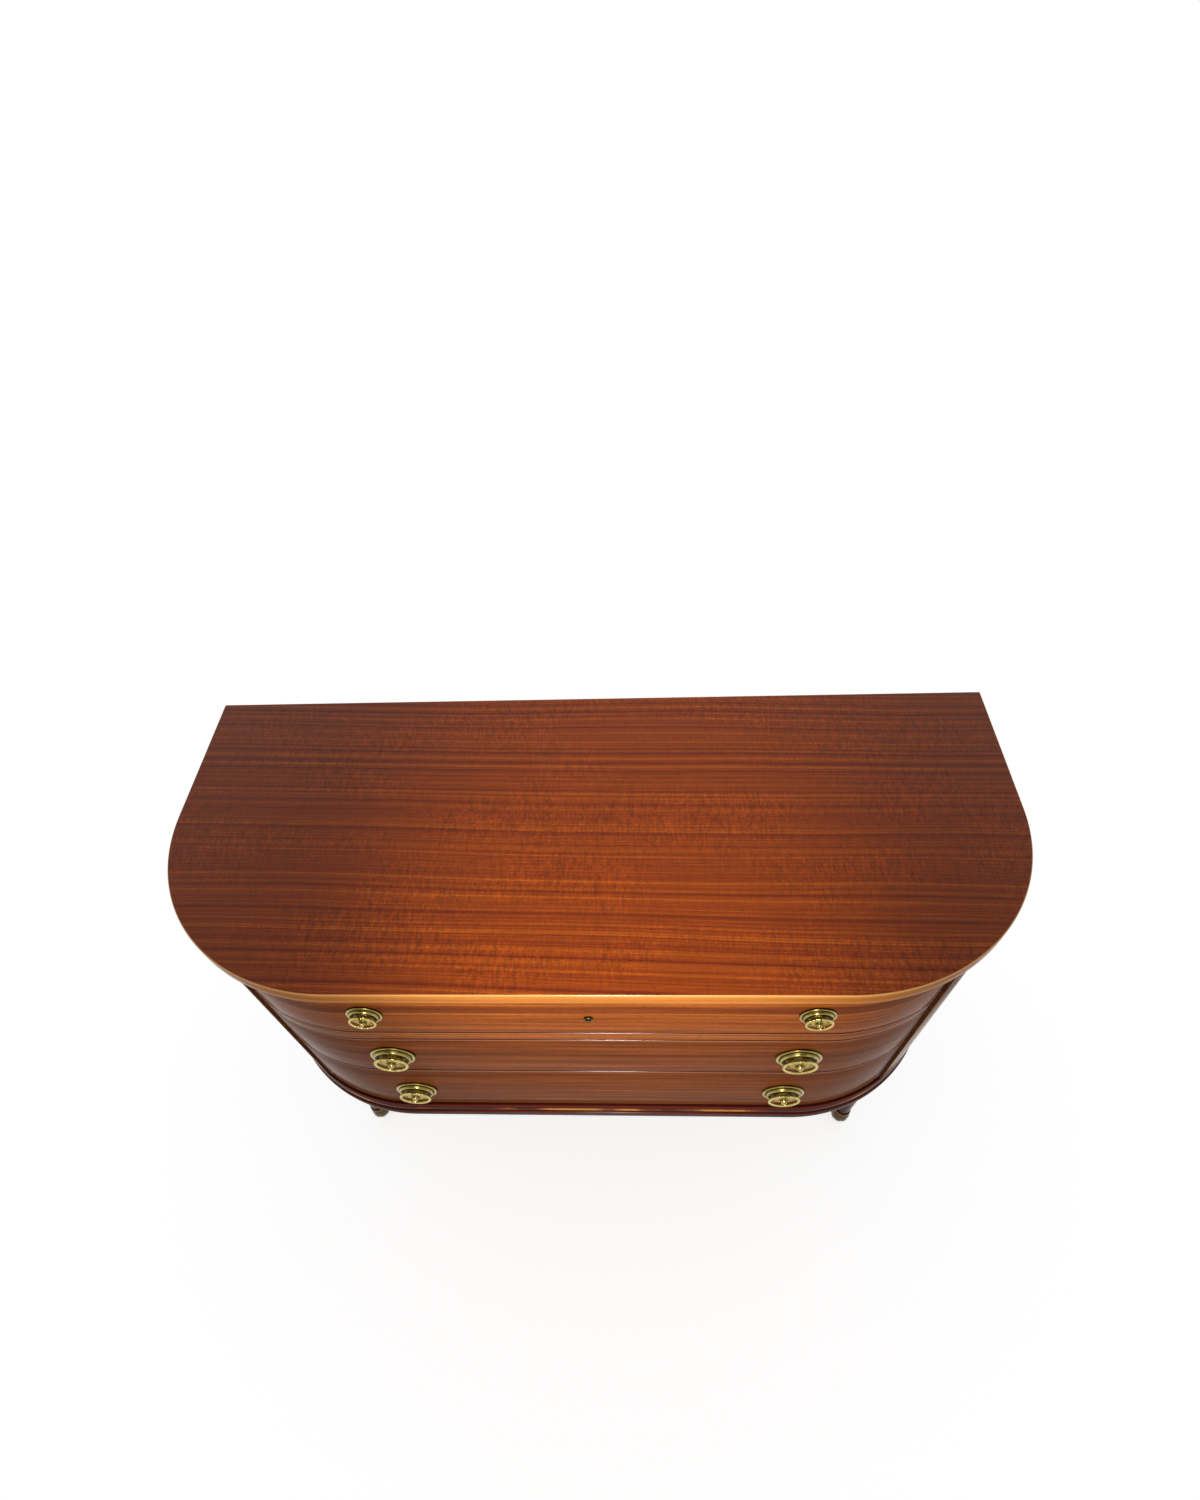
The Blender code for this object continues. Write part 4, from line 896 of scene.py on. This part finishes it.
# Top
# A veneered panel with mahogany sliced so that dark lines run from end to end, satin lacquered,
# and a lipping of pale solid wood glued round its front and sides.

TOP_LOW = 0.749
TOP_HIGH = 0.770
LIPPING = 0.0025
# The sheet of veneer covers the lipping too, up to its rounded arris.
LIPPING_HIGH = 0.7693
VENEER_INSET = 0.0014
VENEER_EASE = 0.0002
VENEER_SEAM = 0.00005
LIPPING_EASE = 0.001
TOP_STEP = 1.0
MORTISE_CLEARANCE = 0.0015
MORTISE_OPENING = 0.001
BOLT_TRAVEL = 0.0080
# Ribbon-striped mahogany veneer: red brown with dark lines 10 to 30 mm apart and a shimmer of
# short bars across them, under a satin lacquer that spreads the light.
top_veneer = timber("ribbon_mahogany_veneer", "#6c2205", "#8d3804", "#a84e0a", "X", (0.03, 1, 0), 8,
                    sway=0.008, line=0.85, fibre=0.16, fibres_over=650.0, pore=0.2, figure=0.26,
                    roughness=0.36, specular=0.42)
# Pale solid lipping, probably cherry or beech, warmed by the lacquer to honey orange.
pale_lipping = timber("pale_lipping_lacquered", "#c4702a", "#dd893a", "#eda355", "XY", (0, 0, 1), 30,
                      line=0.1, fibre=0.12, fibres_over=200.0, pore=0.12, roughness=0.12, specular=0.008)
# Its upper arris, paler than the lipping as a painted highlight, under a real gloss.
highlit_pale_arris = lacquered_edge("painted_highlight_and_gloss_on_pale_arris", "#e8a85a", 0.2, 0.45)
top_run = plan_run(rear=BACK_Y, step=TOP_STEP)
panel_profile = [(LIPPING + GLUE_GAP, TOP_LOW), (LIPPING + GLUE_GAP, LIPPING_HIGH + VENEER_SEAM),
                 (VENEER_INSET, LIPPING_HIGH + VENEER_SEAM), (VENEER_INSET, TOP_HIGH - VENEER_EASE),
                 (VENEER_INSET + VENEER_EASE, TOP_HIGH)]
panel_rings = [[(x - out_x * inset, y - out_y * inset, height) for x, y, out_x, out_y in top_run]
               for inset, height in panel_profile]
# The mortise that the lock bolt rises into is wider than the bolt all round.
bolt_low, bolt_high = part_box("lock_bolt")
mortise_low = (bolt_low[0] - MORTISE_CLEARANCE, bolt_low[1] - MORTISE_CLEARANCE, TOP_LOW - MORTISE_OPENING)
mortise_high = (bolt_high[0] + MORTISE_CLEARANCE, bolt_high[1] + MORTISE_CLEARANCE, TOP_LOW + BOLT_TRAVEL)
panel_mesh = cut_box(coated(lofted(panel_rings), top_veneer), mortise_low, mortise_high)
fit("veneered_top", panel_mesh, "root", ["top_panel"])
lip_section = upright_section(0.0, LIPPING, TOP_LOW, LIPPING_HIGH, (LIPPING_EASE, VENEER_INSET))
# Edges 5 to 8 round its upper arris.
lip_mesh = coated(swept(top_run, lip_section, (range(5, 9),)), pale_lipping, highlit_pale_arris)
fit("pale_top_lipping", lip_mesh, "root", ["top_edge_lipping"])

# Studio
# A pale floor, a soft lamp over the front and an even room light; the camera stands high and
# close in front of the chest, a little to the right.

ROOM_LIGHT = 0.325
WALL_SHINE, CEILING_SHINE = 0.75, 0.08
FLOOR_SIZE = 40
FLOOR_BOUNCE = (0.45, 0.45, 0.45, 1)
FLOOR_WHITE = (0.95, 0.95, 0.95, 1)
FLOOR_LIFT = 0.72
LAMP_PLACE = (-0.01, -0.95, 1.50)
CAMERA_PLACE = (0.05695, -0.59207, 1.57651)
CAMERA_AXES = ((0.99868, 0.02255, -0.04607), (0.00889, 0.80840, 0.58856), (0.05052, -0.58820, 0.80713))

world = bpy.data.worlds.new("room")
bpy.context.scene.world = world
world.use_nodes = True
sky_tree = world.node_tree
# The room's light is even. What shiny surfaces mirror is pale walls that darken towards the ceiling.
way = add_node(sky_tree, "ShaderNodeTexCoord").outputs["Generated"]
rise = add_node(sky_tree, "ShaderNodeSeparateXYZ", {0: way}).outputs["Z"]
walls = add_node(sky_tree, "ShaderNodeMapRange", {"Value": rise, "From Min": 0.60, "From Max": 0.92,
                                                  "To Min": WALL_SHINE, "To Max": CEILING_SHINE})
rays = add_node(sky_tree, "ShaderNodeLightPath").outputs
mirrored_room = add_node(sky_tree, "ShaderNodeMix", {0: rays["Is Glossy Ray"], 2: ROOM_LIGHT, 3: walls})
strength = add_node(sky_tree, "ShaderNodeMix", {0: rays["Is Camera Ray"], 2: mirrored_room, 3: 1.0})
feed(sky_tree, sky_tree.nodes["Background"], {"Color": linear("#ffffff"), "Strength": strength})

floor_build = bmesh.new()
bmesh.ops.create_grid(floor_build, x_segments=1, y_segments=1, size=FLOOR_SIZE)
floor_mesh = bpy.data.meshes.new("floor")
floor_build.to_mesh(floor_mesh)
floor_build.free()
floor = bpy.data.objects.new("floor", floor_mesh)
bpy.context.scene.collection.objects.link(floor)
# Plain pale floor. Seen by eye or in a reflection it is white but keeps the shadow of the chest.
floor_paint, floor_tree, _ = new_finish("pale_floor")
floor_tree.nodes.clear()
matt = add_node(floor_tree, "ShaderNodeBsdfDiffuse", {"Color": FLOOR_BOUNCE})
white = add_node(floor_tree, "ShaderNodeBsdfDiffuse", {"Color": FLOOR_WHITE})
lift = add_node(floor_tree, "ShaderNodeEmission", {"Color": (1, 1, 1, 1), "Strength": FLOOR_LIFT})
both = add_node(floor_tree, "ShaderNodeAddShader", {0: white, 1: lift})
rays = add_node(floor_tree, "ShaderNodeLightPath").outputs
seen = add_node(floor_tree, "ShaderNodeMath", {0: rays["Is Camera Ray"], 1: rays["Is Glossy Ray"]},
                operation="MAXIMUM")
seen = add_node(floor_tree, "ShaderNodeMath", {0: seen, 1: rays["Is Transmission Ray"]}, operation="MAXIMUM")
shown = add_node(floor_tree, "ShaderNodeMixShader", {0: seen, 1: matt, 2: both})
add_node(floor_tree, "ShaderNodeOutputMaterial", {"Surface": shown})
floor_mesh.materials.append(floor_paint)


def lamp(kind, name, aim, power, squeeze=1.0, **settings):
    """A lamp in front of the chest, about as high as the camera."""
    light = bpy.data.lights.new(name, kind)
    light.energy = power
    for key, value in settings.items():
        setattr(light, key, value)
    holder = bpy.data.objects.new(name, light)
    holder.location = LAMP_PLACE
    holder.rotation_euler = (Vector(aim) - holder.location).to_track_quat("-Z", "Y").to_euler()
    holder.scale = (squeeze, 1, 1)
    bpy.context.scene.collection.objects.link(holder)
    return holder


broad = lamp("AREA", "broad_lamp", (0.02, -0.10, 0.70), 2.4, shape="DISK", size=0.15)
pool = lamp("SPOT", "front_pool", (0.030, -0.21, 0.77), 54, squeeze=0.65, spot_size=math.radians(58),
            spot_blend=1.0, shadow_soft_size=0.05)
# Both lamps are for the chest alone, so that the floor keeps only the soft shade of the room.
unlit = bpy.data.collections.new("floor_out_of_the_lamps")
unlit.objects.link(floor)
unlit.collection_objects[0].light_linking.link_state = "EXCLUDE"
for holder in (broad, pool):
    holder.light_linking.receiver_collection = unlit

camera = bpy.data.cameras.new("camera")
camera.sensor_width = 36
camera.lens = 18.82
camera.shift_x = 0.0039
camera.shift_y = 0.0547
camera.clip_start = 0.01
camera.clip_end = 200
viewer = bpy.data.objects.new("camera", camera)
viewer.matrix_world = Matrix.Translation(CAMERA_PLACE) @ Matrix(CAMERA_AXES).transposed().to_4x4()
bpy.context.scene.collection.objects.link(viewer)
bpy.context.scene.camera = viewer
bpy.context.scene.view_settings.view_transform = "Standard"
